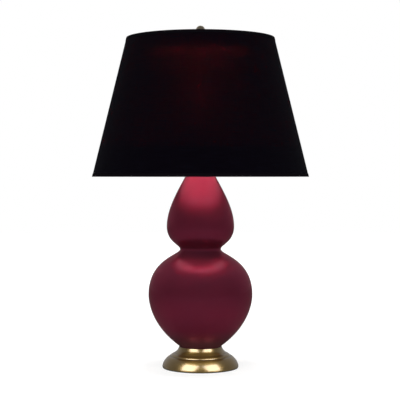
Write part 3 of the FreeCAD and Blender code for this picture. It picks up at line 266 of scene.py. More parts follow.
def turned(name, path, corner, rows, sides, closed=True, width=None, ripple=None):
    """A turned piece: the outline, its corners eased to a radius, carried round the axis; an open one closes in
    poles. A point is (radius cos angle, radius sin angle, level), with the ripple added to the radius. A width
    gives it a map: that width round, and the outline's own length along."""
    path = anticlockwise(np.asarray(path, float)) if closed else np.asarray(path, float)
    path = spaced(eased(path, corner, closed), rows, closed)
    angle = np.arange(sides) / sides * FULL_TURN
    poles = (None, None)
    if not closed:
        poles = ((0, 0, path[0, 1] * MM), (0, 0, path[-1, 1] * MM))
        path = path[1:-1]
    radius = path[:, :1] * np.ones((1, sides))
    level = path[:, 1:] * np.ones((1, sides))
    if ripple is not None:
        radius = radius + ripple(angle[None, :], radius, level)
    points = np.stack([radius * np.cos(angle), radius * np.sin(angle), level], axis=-1) * MM
    uv = None
    if width is not None:
        steps = np.linalg.norm(np.diff(path, axis=0), axis=1)
        uv = (width, np.r_[0, np.cumsum(steps)] * MM)
    return grid_mesh(name, points, wrap_rows=closed, poles=poles, uv=uv)


def place(name, mesh, material, body, stands_for=()):
    """A finished piece: its mesh in the frame at the origin, its material, the body it rides on."""
    mesh.materials.append(material)
    piece = bpy.data.objects.new(name, mesh)
    bpy.context.scene.collection.objects.link(piece)
    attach(piece, body)
    if stands_for:
        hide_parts(*stands_for)
    return piece


def dress(nodes, material):
    """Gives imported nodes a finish, in their own material slots."""
    for name in nodes:
        node = frame["nodes"][name]
        if not node.material_slots:
            node.data.materials.append(material)
        for slot in node.material_slots:
            slot.material = material


# ------------------------------------------------------------------ shader building
class Signal:
    """One output of a shader node. Arithmetic on it adds Math nodes."""

    def __init__(self, graph, socket):
        self.graph = graph
        self.socket = socket

    def maths(self, operation, *values):
        return self.graph.node("ShaderNodeMath", {"operation": operation}, *values)

    def __add__(self, other):
        return self.maths("ADD", self, other)

    def __radd__(self, other):
        return self.maths("ADD", other, self)

    def __sub__(self, other):
        return self.maths("SUBTRACT", self, other)

    def __rsub__(self, other):
        return self.maths("SUBTRACT", other, self)

    def __mul__(self, other):
        return self.maths("MULTIPLY", self, other)

    def __rmul__(self, other):
        return self.maths("MULTIPLY", other, self)

    def __truediv__(self, other):
        return self.maths("DIVIDE", self, other)

    def __pow__(self, other):
        return self.maths("POWER", self, other)

    def clamp(self):
        return self.maths("MAXIMUM", self.maths("MINIMUM", self, 1.0), 0.0)

    def sine(self):
        return self.maths("SINE", self)

    def bigger(self, other):
        return self.maths("MAXIMUM", self, other)


class Graph:
    """The node tree of one material or of the world."""

    def __init__(self, owner):
        owner.use_nodes = True
        self.tree = owner.node_tree
        self.tree.nodes.clear()

    def node(self, kind, settings=None, *values, output=0, **named):
        """Adds a node: first its settings, then the values or links of its sockets, by place or by name."""
        node = self.tree.nodes.new(kind)
        for key, value in (settings or {}).items():
            setattr(node, key, value)
        wanted = list(enumerate(values)) + [(key.replace("_", " "), value) for key, value in named.items()]
        for key, value in wanted:
            self.feed(node.inputs[key], value)
        return Signal(self, node.outputs[output])

    def feed(self, socket, value):
        """Links a signal to a socket, or writes a constant there; a colour may leave out its alpha."""
        if isinstance(value, Signal):
            self.tree.links.new(value.socket, socket)
        elif socket.type == "RGBA" and len(value) == 3:
            socket.default_value = (*value, 1.0)
        else:
            socket.default_value = value

    def point(self):
        """The point's place in the lamp's own frame, in metres."""
        return self.node("ShaderNodeTexCoord", output="Object")

    def split(self, vector):
        """The three parts of a vector."""
        x = self.node("ShaderNodeSeparateXYZ", None, vector)
        return [Signal(self, output) for output in x.socket.node.outputs]

    def vector(self, x, y, z):
        return self.node("ShaderNodeCombineXYZ", None, x, y, z)

    def noise(self, vector, scale, detail=3.0, roughness=0.5, distortion=0.0):
        return self.node("ShaderNodeTexNoise", None, Vector=vector, Scale=scale, Detail=detail,
                         Roughness=roughness, Distortion=distortion)

    def cells(self, vector, scale):
        """The distance to the nearest of many scattered points."""
        return self.node("ShaderNodeTexVoronoi", None, Vector=vector, Scale=scale)

    def between(self, value, low, high, start=0.0, end=1.0):
        """The value's place between low and high, held to start and end."""
        return self.node("ShaderNodeMapRange", {"clamp": True}, value, low, high, start, end)

    def varied(self, noise, start=0.0, end=1.0):
        """Noise, which keeps mostly between 0.3 and 0.7, stretched to run from start to end."""
        return self.between(noise, 0.3, 0.7, start, end)

    def colours(self, factor, first, second):
        """A colour between two others. The Mix node keeps its colour sockets in places 6 and 7, and gives 2."""
        node = self.tree.nodes.new("ShaderNodeMix")
        node.data_type = "RGBA"
        for number, value in ((0, factor), (6, first), (7, second)):
            self.feed(node.inputs[number], value)
        return Signal(self, node.outputs[2])

    def mixed(self, factor, first, second):
        """One shader at a factor of 0, another at 1."""
        return self.node("ShaderNodeMixShader", None, factor, first, second)

    def rays(self):
        """1 for a ray from the camera, and 1 for a ray that a polished or clear surface sends on."""
        path = self.node("ShaderNodeLightPath").socket.node.outputs
        seen = Signal(self, path["Is Camera Ray"])
        mirrored = Signal(self, path["Is Glossy Ray"]).bigger(Signal(self, path["Is Transmission Ray"]))
        return seen, mirrored * (1.0 - seen)

    def bump(self, height, strength, distance):
        return self.node("ShaderNodeBump", None, Height=height, Strength=strength, Distance=distance)

    def surface(self, shader, output="ShaderNodeOutputMaterial"):
        end = self.tree.nodes.new(output)
        self.tree.links.new(shader.socket, end.inputs["Surface"])

    def principled(self, **named):
        """The main shader; a socket whose name has a space is written with an underscore."""
        return self.node("ShaderNodeBsdfPrincipled", None, **named)

    def passing(self, colour, roughness):
        """Light that passes between threads or fibres, spread but hardly bent."""
        return self.node("ShaderNodeBsdfRefraction", {"distribution": "GGX"}, Color=colour, Roughness=roughness,
                         IOR=1.12)


def fresh(name):
    """A new material with an empty node tree."""
    material = bpy.data.materials.new(name)
    return material, Graph(material)


def turned_marks(g, point, spread=900.0):
    """Fine rings left by the lathe or the spinning tool: noise that changes fast along the outline and
    slowly round it, read from the distance to the axis, the level, and the direction round the axis."""
    x, y, z = g.split(point)
    radius = (x * x + y * y) ** 0.5
    safe = radius.bigger(0.0005)
    vector = g.vector(radius * spread + z * spread, x / safe * 1.5, y / safe * 1.5)
    return g.noise(vector, 1.0, 2.0)


def glaze_material(look):
    """Oxblood glaze: deep red, thinner and browner at lip and foot, with faint mottling and a soft ripple. Its
    smooth top mirrors sharply, and the light scattered in its depth adds a broad, redder shine. Towards the foot,
    where the glaze ran thin, it turns to a satin that mirrors nothing."""
    material, g = fresh("oxblood_glaze")
    point = g.point()
    x, y, z = g.split(point)
    streak = g.noise(g.vector(x * 26.0, y * 26.0, z * 7.0), 1.0, 4.0, 0.6, 0.4)
    cloud = g.noise(point, 9.0, 3.0, 0.55)
    fleck = g.cells(point, 420.0)
    mottle = g.between(streak * 0.6 + cloud * 0.4, 0.32, 0.68)
    deep = g.colours(mottle, tuple(look.deep), tuple(look.glaze))
    foot_low, _ = span("gourd_body")
    thin = 1.0 - g.between(z, (foot_low + 1.0) * MM, (foot_low + 7.0) * MM)
    lip = g.between(z, *THIN_LIP)
    worn = (thin + lip).clamp() * g.varied(streak, 0.35, 0.9)
    base = g.colours(worn, deep, THIN_GLAZE)
    dark = g.between(fleck, 0.0, 0.16, 0.55, 1.0)
    base = g.colours(1.0 - dark, base, FLECK)
    clay = 1.0 - g.between(z, (foot_low + 0.3) * MM, (foot_low + 1.1) * MM)
    base = g.colours(clay, base, CLAY)
    swell = g.noise(point, 34.0, 2.0, 0.45)
    peel = g.noise(point, 260.0, 2.0, 0.5)
    relief = swell * 0.9 + peel * 0.1
    low = 1.0 - g.between(z, (foot_low + 14.0) * MM, (foot_low + 46.0) * MM)
    rough = g.varied(cloud, look.gloss, look.gloss + 0.01) + clay * 0.6
    normal = g.bump(relief, 0.02, 0.002)
    top = g.principled(Base_Color=base, Roughness=rough, IOR=1.7, Specular_IOR_Level=1.0,
                       Specular_Tint=tuple(look.reflection), Normal=normal)
    depth = g.principled(Base_Color=base, Roughness=0.42, IOR=2.4, Specular_IOR_Level=1.0,
                         Specular_Tint=tuple(look.haze), Normal=normal)
    glaze = g.mixed(g.varied(cloud, 0.7, 0.78), top, depth)
    satin = g.principled(Base_Color=g.colours(0.8, base, SATIN), Roughness=0.6, Specular_IOR_Level=0.12,
                         Normal=normal)
    g.surface(g.mixed(low, glaze, satin))
    return material


def brass_material(name, bright, tarnish, polish, age, rings=0.25, spread=900.0):
    """Brass: rings of the spinning tool, a warm tarnish in patches, and a polish that wears unevenly."""
    material, g = fresh(name)
    point = g.point()
    marks = turned_marks(g, point, spread)
    patch = g.noise(point, 38.0, 4.0, 0.6, 0.3)
    fine = g.noise(point, 650.0, 2.0, 0.6)
    scratch = g.noise(g.node("ShaderNodeMapping", None, Vector=point, Rotation=(0.4, 0.9, 0.3),
                             Scale=(2200.0, 60.0, 60.0)), 1.0, 1.0)
    aged = (g.between(patch, 0.38, 0.7) * age + g.between(fine, 0.5, 0.8) * 0.25 * age).clamp()
    colour = g.colours(aged, bright, tarnish)
    rough = polish + aged * 0.14 + g.varied(marks, -0.03, 0.05) + g.between(scratch, 0.62, 0.72) * 0.08
    relief = marks * rings + scratch * 0.12 + fine * 0.15
    g.surface(g.principled(Base_Color=colour, Metallic=1.0, Roughness=rough, Normal=g.bump(relief, 0.12, 0.0006)))
    return material


def base_brass_material(look):
    """Lacquered brass of the base: rings of the spinning tool stretch its highlights, and painted shade, with some
    tarnish, darkens it in the groove under the roll, at the cove's foot and along the bottom edge."""
    material, g = fresh("antique_brass")
    point = g.point()
    marks, z = turned_marks(g, point), g.split(point)[2]
    patch = g.noise(point, 30.0, 4.0, 0.62, 0.3)
    fine = g.noise(point, 700.0, 2.0, 0.6)

    def crease(level, half):
        """1 at a level of the base, falling to 0 a half-width away."""
        return (1.0 - g.node("ShaderNodeMath", {"operation": "ABSOLUTE"}, z - level) / half).clamp()

    # painted shade with some tarnish: darker at each crease level and at the bottom edge
    crease_shade = sum(crease(level, half) * darkness for level, half, darkness in CREASE_SHADES)
    aged = (g.between(patch, 0.42, 0.72) * 0.35 + crease_shade + g.between(fine, 0.5, 0.8) * 0.06).clamp()
    colour = g.colours(aged, tuple(look.brass), tuple(look.tarnish))
    rough = look.polish + aged * 0.12 + g.varied(marks, -0.03, 0.04)
    relief = marks * 0.12 + fine * 0.03
    g.surface(g.principled(Base_Color=colour, Metallic=0.90 - aged * 0.2, Roughness=rough, Anisotropic=0.5,
                           Anisotropic_Rotation=0.25, Coat_Weight=1.0, Coat_IOR=2.0, Coat_Roughness=0.20,
                           Normal=g.bump(relief, 0.12, 0.0006)))
    return material


def weave(g):
    """Plain weave read from the cloth's own map, in metres: two sets of sine waves, 1400 to the metre, with slubs,
    threads that swell for a few centimetres, along both sets. Returns the relief, the slubs' mask and the noise
    that the slubs across the shade come from."""
    uv = g.node("ShaderNodeUVMap", {"uv_map": "weave"})
    u, v, _ = g.split(uv)
    wobble = g.noise(uv, 60.0, 2.0) * 0.0012
    threads = 1400.0
    warp = ((u + wobble) * threads * math.pi).sine()
    weft = ((v + wobble) * threads * math.pi).sine()
    relief = (warp * warp) * 0.5 + (weft * weft) * 0.5
    across = g.noise(g.vector(u * 22.0, v * 700.0, 0.0), 1.0, 3.0, 0.55)
    along = g.noise(g.vector(u * 700.0, v * 22.0, 3.0), 1.0, 3.0, 0.55)
    slubs = (g.between(across, 0.52, 0.72) + g.between(along, 0.56, 0.76) * 0.6).clamp()
    return relief, slubs, across


def cloth_material(look):
    """Black slubbed cloth: opaque threads, and between them a dull red light from the bulb inside."""
    material, g = fresh("shade_cloth")
    relief, slubs, across = weave(g)
    tone = g.colours(slubs, tuple(look.cloth), tuple(look.slub))
    bumped = g.bump(relief * 0.5 + slubs * 1.6, 0.5, 0.0004)
    threads = g.principled(Base_Color=tone, Roughness=0.9, Specular_IOR_Level=0.03, Sheen_Weight=0.018,
                           Sheen_Roughness=0.5, Sheen_Tint=CLOTH_SHEEN, Normal=bumped)
    open_share = look.openness * (1.15 - slubs * 0.7) * g.varied(across, 0.8, 1.2)
    g.surface(g.mixed(open_share, threads, g.passing(tuple(look.glow), 0.8)))
    return material


def lining_material(look):
    """Warm white lining board: faint fibres, and painted darker about the bulb's height, a painted shade that evens out
    the bulb's light there. It lets part of the light through, except below a set level, where it is near-black."""
    material, g = fresh("lining_board")
    point = g.point()
    z = g.split(point)[2]
    # below this level the lining is near-black and lets no light through; above it the board shows
    above_lower_band = g.between(z, look.facing - 0.001, look.facing)
    fibre = g.noise(point, 120.0, 4.0, 0.6)
    tone = g.colours(g.varied(fibre), BOARD_DARK, BOARD_LIGHT)
    # painted shade: darker between these two levels, to even out the bulb's stronger light on the lining
    tone = g.colours(g.between(z, *BULB_LEVEL_SHADE, 0.0, 0.9), tone, BOARD_PAINTED_SHADE)
    tone = g.colours(above_lower_band, LINING_LOWER_BLACK, tone)
    board = g.principled(Base_Color=tone, Roughness=0.6, Normal=g.bump(fibre, 0.2, 0.0004))
    g.surface(g.mixed(g.between(fibre, 0.2, 0.8, 0.3, 0.36) * above_lower_band, board, g.passing(BOARD_GLOW, 0.75)))
    return material


def tape_material():
    """Black ribbed tape of the shade's edges."""
    material, g = fresh("edge_tape")
    uv = g.node("ShaderNodeUVMap", {"uv_map": "weave"})
    ribs = (g.split(uv)[0] * 2600.0).sine()
    fuzz = g.noise(uv, 900.0, 2.0)
    tone = g.colours(g.varied(fuzz), TAPE_DARK, TAPE_LIGHT)
    g.surface(g.principled(Base_Color=tone, Roughness=0.85, Specular_IOR_Level=0.05,
                           Normal=g.bump(ribs * ribs + fuzz * 0.4, 0.5, 0.0004)))
    return material


def plain_material(name, first, second, roughness, metallic=0.0, scale=90.0, relief=0.08):
    """A quiet finish for a small part: two close tones in a fine grain, with an uneven gloss and relief."""
    material, g = fresh(name)
    point = g.point()
    grain = g.noise(point, scale, 4.0, 0.6)
    fine = g.noise(point, scale * 7.0, 2.0)
    mix = g.between(grain, 0.32, 0.68)
    rough = g.varied(fine, roughness - 0.05, roughness + 0.07)
    g.surface(g.principled(Base_Color=g.colours(mix, first, second), Roughness=rough, Metallic=metallic,
                           Normal=g.bump(grain * 0.5 + fine * 0.5, relief, 0.0006)))
    return material


def bulb_material(look):
    """Frosted glass, lit from inside: a warm glow, softer towards the neck."""
    material, g = fresh("frosted_glass")
    point = g.point()
    frost = g.noise(point, 420.0)
    tone = g.colours(g.between(g.split(point)[2], 0.545, 0.6), BULB_COOL, BULB_WARM)
    g.surface(g.principled(Base_Color=BULB_SKIN, Roughness=g.varied(frost, 0.4, 0.55),
                           Emission_Color=tone, Emission_Strength=look.bulb_glow))
    return material


# ------------------------------------------------------------------ sizes and colours to change
def colour_property(name, description, default):
    return bpy.props.FloatVectorProperty(name=name, description=description, default=default, subtype="COLOR",
                                         size=3, min=0.0, max=1.0)


def share_property(name, description, default):
    return bpy.props.FloatProperty(name=name, description=description, default=default, subtype="FACTOR", min=0.0,
                                   max=1.0)


def length_property(name, description, default, low, high):
    return bpy.props.FloatProperty(name=name, description=description, default=default, unit="LENGTH", min=low,
                                   max=high)


def power_property(name, description, default):
    return bpy.props.FloatProperty(name=name, description=description, default=default, min=0.0, max=500.0)


class LampFinishes(bpy.types.PropertyGroup):
    """Colours and finishes of the lamp."""
    glaze: colour_property("Glaze", "Colour of the glaze where it is thick", (0.042, 0.0130, 0.0230))
    deep: colour_property("Deep glaze", "Colour of the darker clouds in the glaze", (0.036, 0.0106, 0.0198))
    reflection: colour_property("Glaze reflection", "Tint of what the glaze's top mirrors", (0.72, 0.34, 0.70))
    haze: colour_property("Glaze depth", "Tint of the broad shine from the glaze's depth", (1.0, 0.025, 0.10))
    gloss: share_property("Glaze roughness", "Roughness of the glaze's top", 0.02)
    brass: colour_property("Brass", "Colour of the base's brass", (0.32, 0.198, 0.040))
    tarnish: colour_property("Tarnish", "Colour of the brass where it has darkened", (0.16, 0.096, 0.020))
    polish: share_property("Brass roughness", "Roughness of the base's brass", 0.32)
    cloth: colour_property("Cloth", "Colour of the shade's threads", (0.0017, 0.0010, 0.0026))
    slub: colour_property("Slub", "Colour of the thick threads", (0.0038, 0.0028, 0.0058))
    glow: colour_property("Glow", "Colour of the light that the cloth lets through", (1.0, 0.035, 0.05))
    openness: share_property("Openness", "Share of the cloth that lets light through", 0.066)
    facing: length_property("Facing", "Level where the lining's black facing ends", 0.490, 0.43, 0.7)
    bulb_glow: power_property("Bulb glow", "Brightness of the bulb's glass", 6.0)


class LampSizes(bpy.types.PropertyGroup):
    """Sizes of the details that only the finished surfaces have."""
    seam_width: length_property("Seam width", "Width of the seam at the shade's back", 0.011, 0.002, 0.03)
    edge: length_property("Brass edge", "Radius of the base's soft edges", 0.0006, 0.0002, 0.003)
    lip: length_property("Gourd lip", "Radius of the gourd's foot and mouth edges", 0.0010, 0.0002, 0.003)


class LampStage(bpy.types.PropertyGroup):
    """Floor, lights and camera."""
    floor: colour_property("Floor", "Colour of the floor", (0.34, 0.34, 0.34))
    distance: length_property("Camera distance", "From the lamp's axis to the camera", 2.6, 1.0, 10.0)
    height: length_property("Camera height", "Above the floor", 0.429, 0.0, 3.0)
    pitch: bpy.props.FloatProperty(name="Camera pitch", description="How far the camera looks down",
                                   default=math.radians(1.21), unit="ROTATION", subtype="ANGLE", min=-1.0, max=1.0)
    key: power_property("Soft lights", "Power of the brightest of the three soft lights, in watts", 34.0)
    skylight: power_property("Top light", "Power of the light that falls into the shade, in watts", 2.0)
    bulb: power_property("Bulb", "Power of the light in the bulb, in watts", 2.6)
    window: power_property("Windows", "Power of each window that the brass mirrors, in watts", 35.0)


# ------------------------------------------------------------------ pieces
class LAMP_OT_gourd(bpy.types.Operator):
    """Build the glazed double gourd"""
    bl_idname = "lamp.build_gourd"
    bl_label = "Glazed gourd"

    def execute(self, context):
        bottom, top = span("gourd_body")
        foot, globe = (FOOT_RADIUS, bottom + FOOT_EDGE), (GLOBE_RADIUS, bottom + GLOBE_LEVEL)
        waist, crown = (WAIST_RADIUS, bottom + WAIST_LEVEL), (CROWN_RADIUS, bottom + CROWN_LEVEL)
        neck = (NECK_RADIUS, top)
        # Outside: four cubics that meet upright at globe, waist and crown. Inside: the same, moved in by the wall.
        leave, arrive = (share * (globe[1] - foot[1]) for share in FLANK)
        flank = cubic([foot, (foot[0] + FLANK_SLOPE * leave, foot[1] + leave), (globe[0], globe[1] - arrive), globe])
        leave, arrive = (share * (neck[1] - crown[1]) for share in TEARDROP)
        teardrop = cubic([crown, (crown[0], crown[1] + leave), (neck[0] + NECK_SLOPE * arrive, neck[1] - arrive),
                          neck])
        outside = joined(flank, upright(globe, waist, SHOULDER), upright(waist, crown, UNDERCUT), teardrop)
        inside = inward(outside, GOURD_WALL)[::-1]
        floor, ceiling = bottom + GOURD_FLOOR, top - GOURD_WALL
        inside = inside[(inside[:, 1] > floor) & (inside[:, 1] < ceiling)]
        path = joined([(ROD_HOLE, bottom), (foot[0], bottom)], outside, [(MOUTH_RADIUS, top), (MOUTH_RADIUS, ceiling)],
                      inside, [(inside[-1][0], floor), (ROD_HOLE, floor)])
        mesh = turned("gourd", path, context.scene.lamp_sizes.lip / MM, rows=300, sides=192)
        place("gourd", mesh, glaze_material(context.scene.lamp_finishes), "lamp", ("gourd_body",))
        return {"FINISHED"}


class LAMP_OT_base(bpy.types.Operator):
    """Build the spun brass base"""
    bl_idname = "lamp.build_base"
    bl_label = "Brass base"

    def execute(self, context):
        bottom, top = span("base_shell")
        widest, collar = (BASE_RADIUS, bottom + RIM_HEIGHT), (COLLAR_RADIUS, top)
        skirt_top, ledge, roll_top = ((radius, bottom + height) for radius, height in (SKIRT_TOP, LEDGE, ROLL_TOP))
        # Outside: the tucked rim, then skirt, roll and cove, a cubic each. Inside: the same, moved in by the wall.
        edge = BASE_RADIUS - RIM_TUCK
        rim = cubic([(edge, bottom), (edge + RIM_TUCK / 2, bottom), (BASE_RADIUS, bottom + RIM_HEIGHT / 2), widest], 20)
        outside = joined(rim, drawn_in(widest, skirt_top, SKIRT_HANDLES), drawn_in(ledge, roll_top, ROLL_HANDLES),
                         drawn_in(roll_top, collar, COVE_HANDLES))
        inside = inward(outside, BASE_WALL)[::-1]
        plate, floor, lip = top - LIP_DEPTH, bottom + BASE_WALL, COLLAR_RADIUS - BASE_WALL
        under = plate - BASE_WALL
        inside = inside[(inside[:, 1] < under) & (inside[:, 1] > floor)]
        path = joined(outside, [(lip, top), (lip, plate), (PLATE_HOLE, plate), (PLATE_HOLE, under)],
                      [(inside[0][0], under)], inside, [(edge - BASE_WALL, floor), (edge - BASE_WALL, bottom)])
        mesh = turned("brass_base", path, context.scene.lamp_sizes.edge / MM, rows=300, sides=192)
        base = place("brass_base", mesh, base_brass_material(context.scene.lamp_finishes), "lamp", ("base_shell",))
        self.cut_inlet(context, base)
        return {"FINISHED"}

    def cut_inlet(self, context, base):
        """The round hole that the cord's bushing sits in: a short rod taken away from the skirt."""
        low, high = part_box("cord_bushing")
        centre, sides, radius, spare = (low.z + high.z) / 2, 48, INLET_RADIUS * MM, 0.02
        angle = np.arange(sides) / sides * FULL_TURN
        ring = np.column_stack([radius * np.cos(angle), np.zeros(sides), centre + radius * np.sin(angle)])
        ends = np.array([low.y - spare, high.y + spare])
        points = np.stack([ring + (0, y, 0) for y in ends[::-1]])
        tool_mesh = grid_mesh("inlet_tool", points, poles=((0, ends[1], centre), (0, ends[0], centre)))
        tool = bpy.data.objects.new("inlet_tool", tool_mesh)
        context.scene.collection.objects.link(tool)
        cut = base.modifiers.new("inlet", "BOOLEAN")
        cut.operation, cut.solver, cut.object = "DIFFERENCE", "EXACT", tool
        context.view_layer.update()
        finished = bpy.data.meshes.new_from_object(base.evaluated_get(context.evaluated_depsgraph_get()))
        base.modifiers.clear()
        base.data = finished
        bpy.data.objects.remove(tool)


def shade_radius(height, depth=0.0):
    """The shade's radius at a level, a depth into its wall: a cone from the bottom tape's widest line, at its
    lower edge, to the top tape's, at its own lower edge."""
    bottom, low = reach("shade_bottom_tape"), span("shade_bottom_tape")[0]
    slope = (bottom - reach("shade_top_tape")) / (span("shade_top_tape")[0] - low)
    return bottom - (np.asarray(height, float) - low) * slope - depth * math.hypot(1, slope)


class LAMP_OT_shade(bpy.types.Operator):
    """Build the cloth shade: cover, lining, edge tapes and the seam at the back"""
    bl_idname = "lamp.build_shade"
    bl_label = "Cloth shade"

    def execute(self, context):
        finishes = context.scene.lamp_finishes
        cloth, board, tape = cloth_material(finishes), lining_material(finishes), tape_material()
        self.band("shade_cloth", TAPE_WALL, COVER_WALL, cloth, "shade_cover", "shade_fabric")
        self.band("shade_lining", TAPE_WALL + COVER_WALL, LINER_WALL, board, "shade_liner", "shade_lining")
        self.tape("top_edge_tape", span("shade_top_tape")[1], -1, tape, "shade_top_tape")
        self.tape("bottom_edge_tape", span("shade_bottom_tape")[0], 1, tape, "shade_bottom_tape")
        self.seam(context, cloth)
        return {"FINISHED"}

    def band(self, name, depth, wall, material, node, slot):
        """A tapered band the whole height of the cover, at a depth into the shade's wall."""
        level = np.linspace(*span("shade_cover"), 90)
        outside = np.column_stack([shade_radius(level, depth), level])
        inside = np.column_stack([shade_radius(level, depth + wall), level])[::-1]
        mesh = turned(name, joined(outside, inside), 0.25, rows=150, sides=288, width=SHADE_GIRTH)
        place(name, mesh, material, "shade", (node,))

    def tape(self, name, edge, into, material, node):
        """The folded tape: outside band, web over the edge, and a fold round the wire ring inside."""
        wall, depth = TAPE_WALL + TAPE_GAP, TAPE_WALL + COVER_WALL + LINER_WALL
        web, end = edge + into * TAPE_WALL, edge + into * TAPE_WIDTH
        ring, hem = edge + into * (TAPE_WALL + 2 * RING_WIRE), edge + into * (TAPE_WIDTH + TAPE_WALL)
        fold = shade_radius(edge + into * (TAPE_WALL + RING_WIRE) + RING_WIRE, depth) - 2 * RING_WIRE
        path = [(shade_radius(edge), edge), (shade_radius(end), end), (shade_radius(end, wall), end),
                (shade_radius(web, wall), web), (fold, web), (fold, ring), (shade_radius(end, depth), end),
                (shade_radius(hem, depth), hem), (fold - TAPE_WALL, ring), (fold - TAPE_WALL, edge)]
        mesh = turned(name, path, 0.22, rows=120, sides=288, width=SHADE_GIRTH)
        place(name, mesh, material, "shade", (node,))

    def seam(self, context, material):
        """The cloth's lap at the back: a flat strip that follows the cone, with its edges rolled under. Across it,
        the strip stands proud by 1 - t to the 8th; along it, two sine waves make its line a little uneven."""
        half, count = context.scene.lamp_sizes.seam_width / 2 / MM, 15
        low, high = span("shade_cover")
        across = np.concatenate([np.linspace(-half, half, count), np.linspace(half, -half, count)])
        proud = np.concatenate([0.42 * (1 - np.linspace(-1, 1, count) ** 8), np.full(count, -0.15)])
        level = np.linspace(low + 1.0, high - 1.0, 120)
        ragged = 0.25 * np.sin(level / 17.0) + 0.15 * np.sin(level / 5.3 + 1.0)
        cloth = shade_radius(level, TAPE_WALL)[:, None]
        radius = cloth + proud[None, :]
        angle = math.pi / 2 - (across[None, :] + ragged[:, None]) / cloth
        points = np.stack([radius * np.cos(angle), radius * np.sin(angle), level[:, None] + 0 * angle], axis=-1) * MM
        points = points[:, ::-1]
        ends = (tuple(points[0].mean(axis=0)), tuple(points[-1].mean(axis=0)))
        mesh = grid_mesh("shade_seam", points, poles=ends, uv=(0.03, level * MM))
        place("shade_seam", mesh, material, "shade")


class LAMP_OT_finial(bpy.types.Operator):
    """Build the ball finial and its turned foot"""
    bl_idname = "lamp.build_finial"
    bl_label = "Ball finial"

    def execute(self, context):
        brass = brass_material("finial_brass", (0.88, 0.78, 0.60), (0.56, 0.48, 0.35), 0.28, 0.7, rings=0.35,
                               spread=1400.0)
        low, high = span("finial_base")
        ball_low, ball_top = span("finial_ball")
        seat, rim, bulge = high - SPIGOT_HEIGHT, low + FINIAL_FOOT, 1.5
        neck = cubic([(FINIAL_RADIUS, rim), (5.1, rim + 1.0), (FINIAL_NECK, rim + 3.5),
                      (FINIAL_NECK, seat - 2 * bulge)])
        # The foot: a knurled disc, a cubic neck and half an ellipse. The ball: an arc from its seat to its top.
        lean = np.linspace(-math.pi / 2, math.pi / 2, 30)
        bead = np.column_stack([FINIAL_NECK + 1.4 * np.cos(lean), seat - bulge + bulge * np.sin(lean)])
        path = joined([(0.0, low), (FINIAL_RADIUS, low), (FINIAL_RADIUS, rim)], neck, bead,
                      [(SPIGOT_RADIUS, seat), (SPIGOT_RADIUS, high), (0.0, high)])

        def knurl(angle, radius, level):
            """72 fine upright grooves round the foot's edge, as a cosine of the angle."""
            on = (radius > FINIAL_RADIUS - 0.6) & (level < rim - 0.1)
            return np.where(on, -0.16 * (0.5 + 0.5 * np.cos(angle * 72)), 0.0)

        mesh = turned("finial_foot", path, 0.25, rows=160, sides=360, closed=False, ripple=knurl)
        place("finial_foot", mesh, brass, "finial_base", ("finial_base",))
        lean = np.linspace(-math.acos(BALL_SEAT / BALL_RADIUS), math.pi / 2, 120)
        ball = np.column_stack([BALL_RADIUS * np.cos(lean), ball_top - BALL_RADIUS + BALL_RADIUS * np.sin(lean)])
        bore = high + 0.1
        path = joined([(0.0, bore), (BALL_BORE, bore), (BALL_BORE, ball_low)], ball)
        mesh = turned("finial_ball_turned", path, 0.2, rows=90, sides=128, closed=False)
        place("finial_ball_turned", mesh, brass, "finial_ball", ("finial_ball",))
        return {"FINISHED"}


class LAMP_OT_bulb(bpy.types.Operator):
    """Build the frosted bulb and the light inside it"""
    bl_idname = "lamp.build_bulb"
    bl_label = "Frosted bulb"

    def execute(self, context):
        low, high = span("bulb_glass")
        middle, quarter = (BULB_RADIUS, high - BULB_RADIUS), ROUND_HANDLE * BULB_RADIUS
        # Outside: an upright cubic up to the widest line, then a quarter circle. Inside: the same, moved in.
        outside = joined([(BULB_NECK, low)], upright((BULB_NECK, low + BULB_IN_CAP), middle, BULB_HANDLES),
                         cubic([middle, (BULB_RADIUS, middle[1] + quarter), (quarter, high), (0.0, high)]))
        inside = inward(outside, BULB_WALL)[::-1]
        inside[0], inside[-1] = (0.0, high - BULB_WALL), (BULB_NECK - BULB_WALL, low)
        mesh = turned("bulb_frosted", joined(inside, outside), 0.3, rows=150, sides=128, closed=False)
        bulb = place("bulb_frosted", mesh, bulb_material(context.scene.lamp_finishes), "bulb", ("bulb_glass",))
        bulb.visible_shadow = False
        lamp = bpy.data.lights.new("bulb_light", "POINT")
        lamp.energy = context.scene.lamp_stage.bulb
        lamp.color, lamp.shadow_soft_size = BULB_LIGHT, 0.03
        light = bpy.data.objects.new("bulb_light", lamp)
        light.location = (0, 0, middle[1] * MM)
        context.scene.collection.objects.link(light)
        light.parent = frame["bodies"]["bulb_mount"]
        return {"FINISHED"}


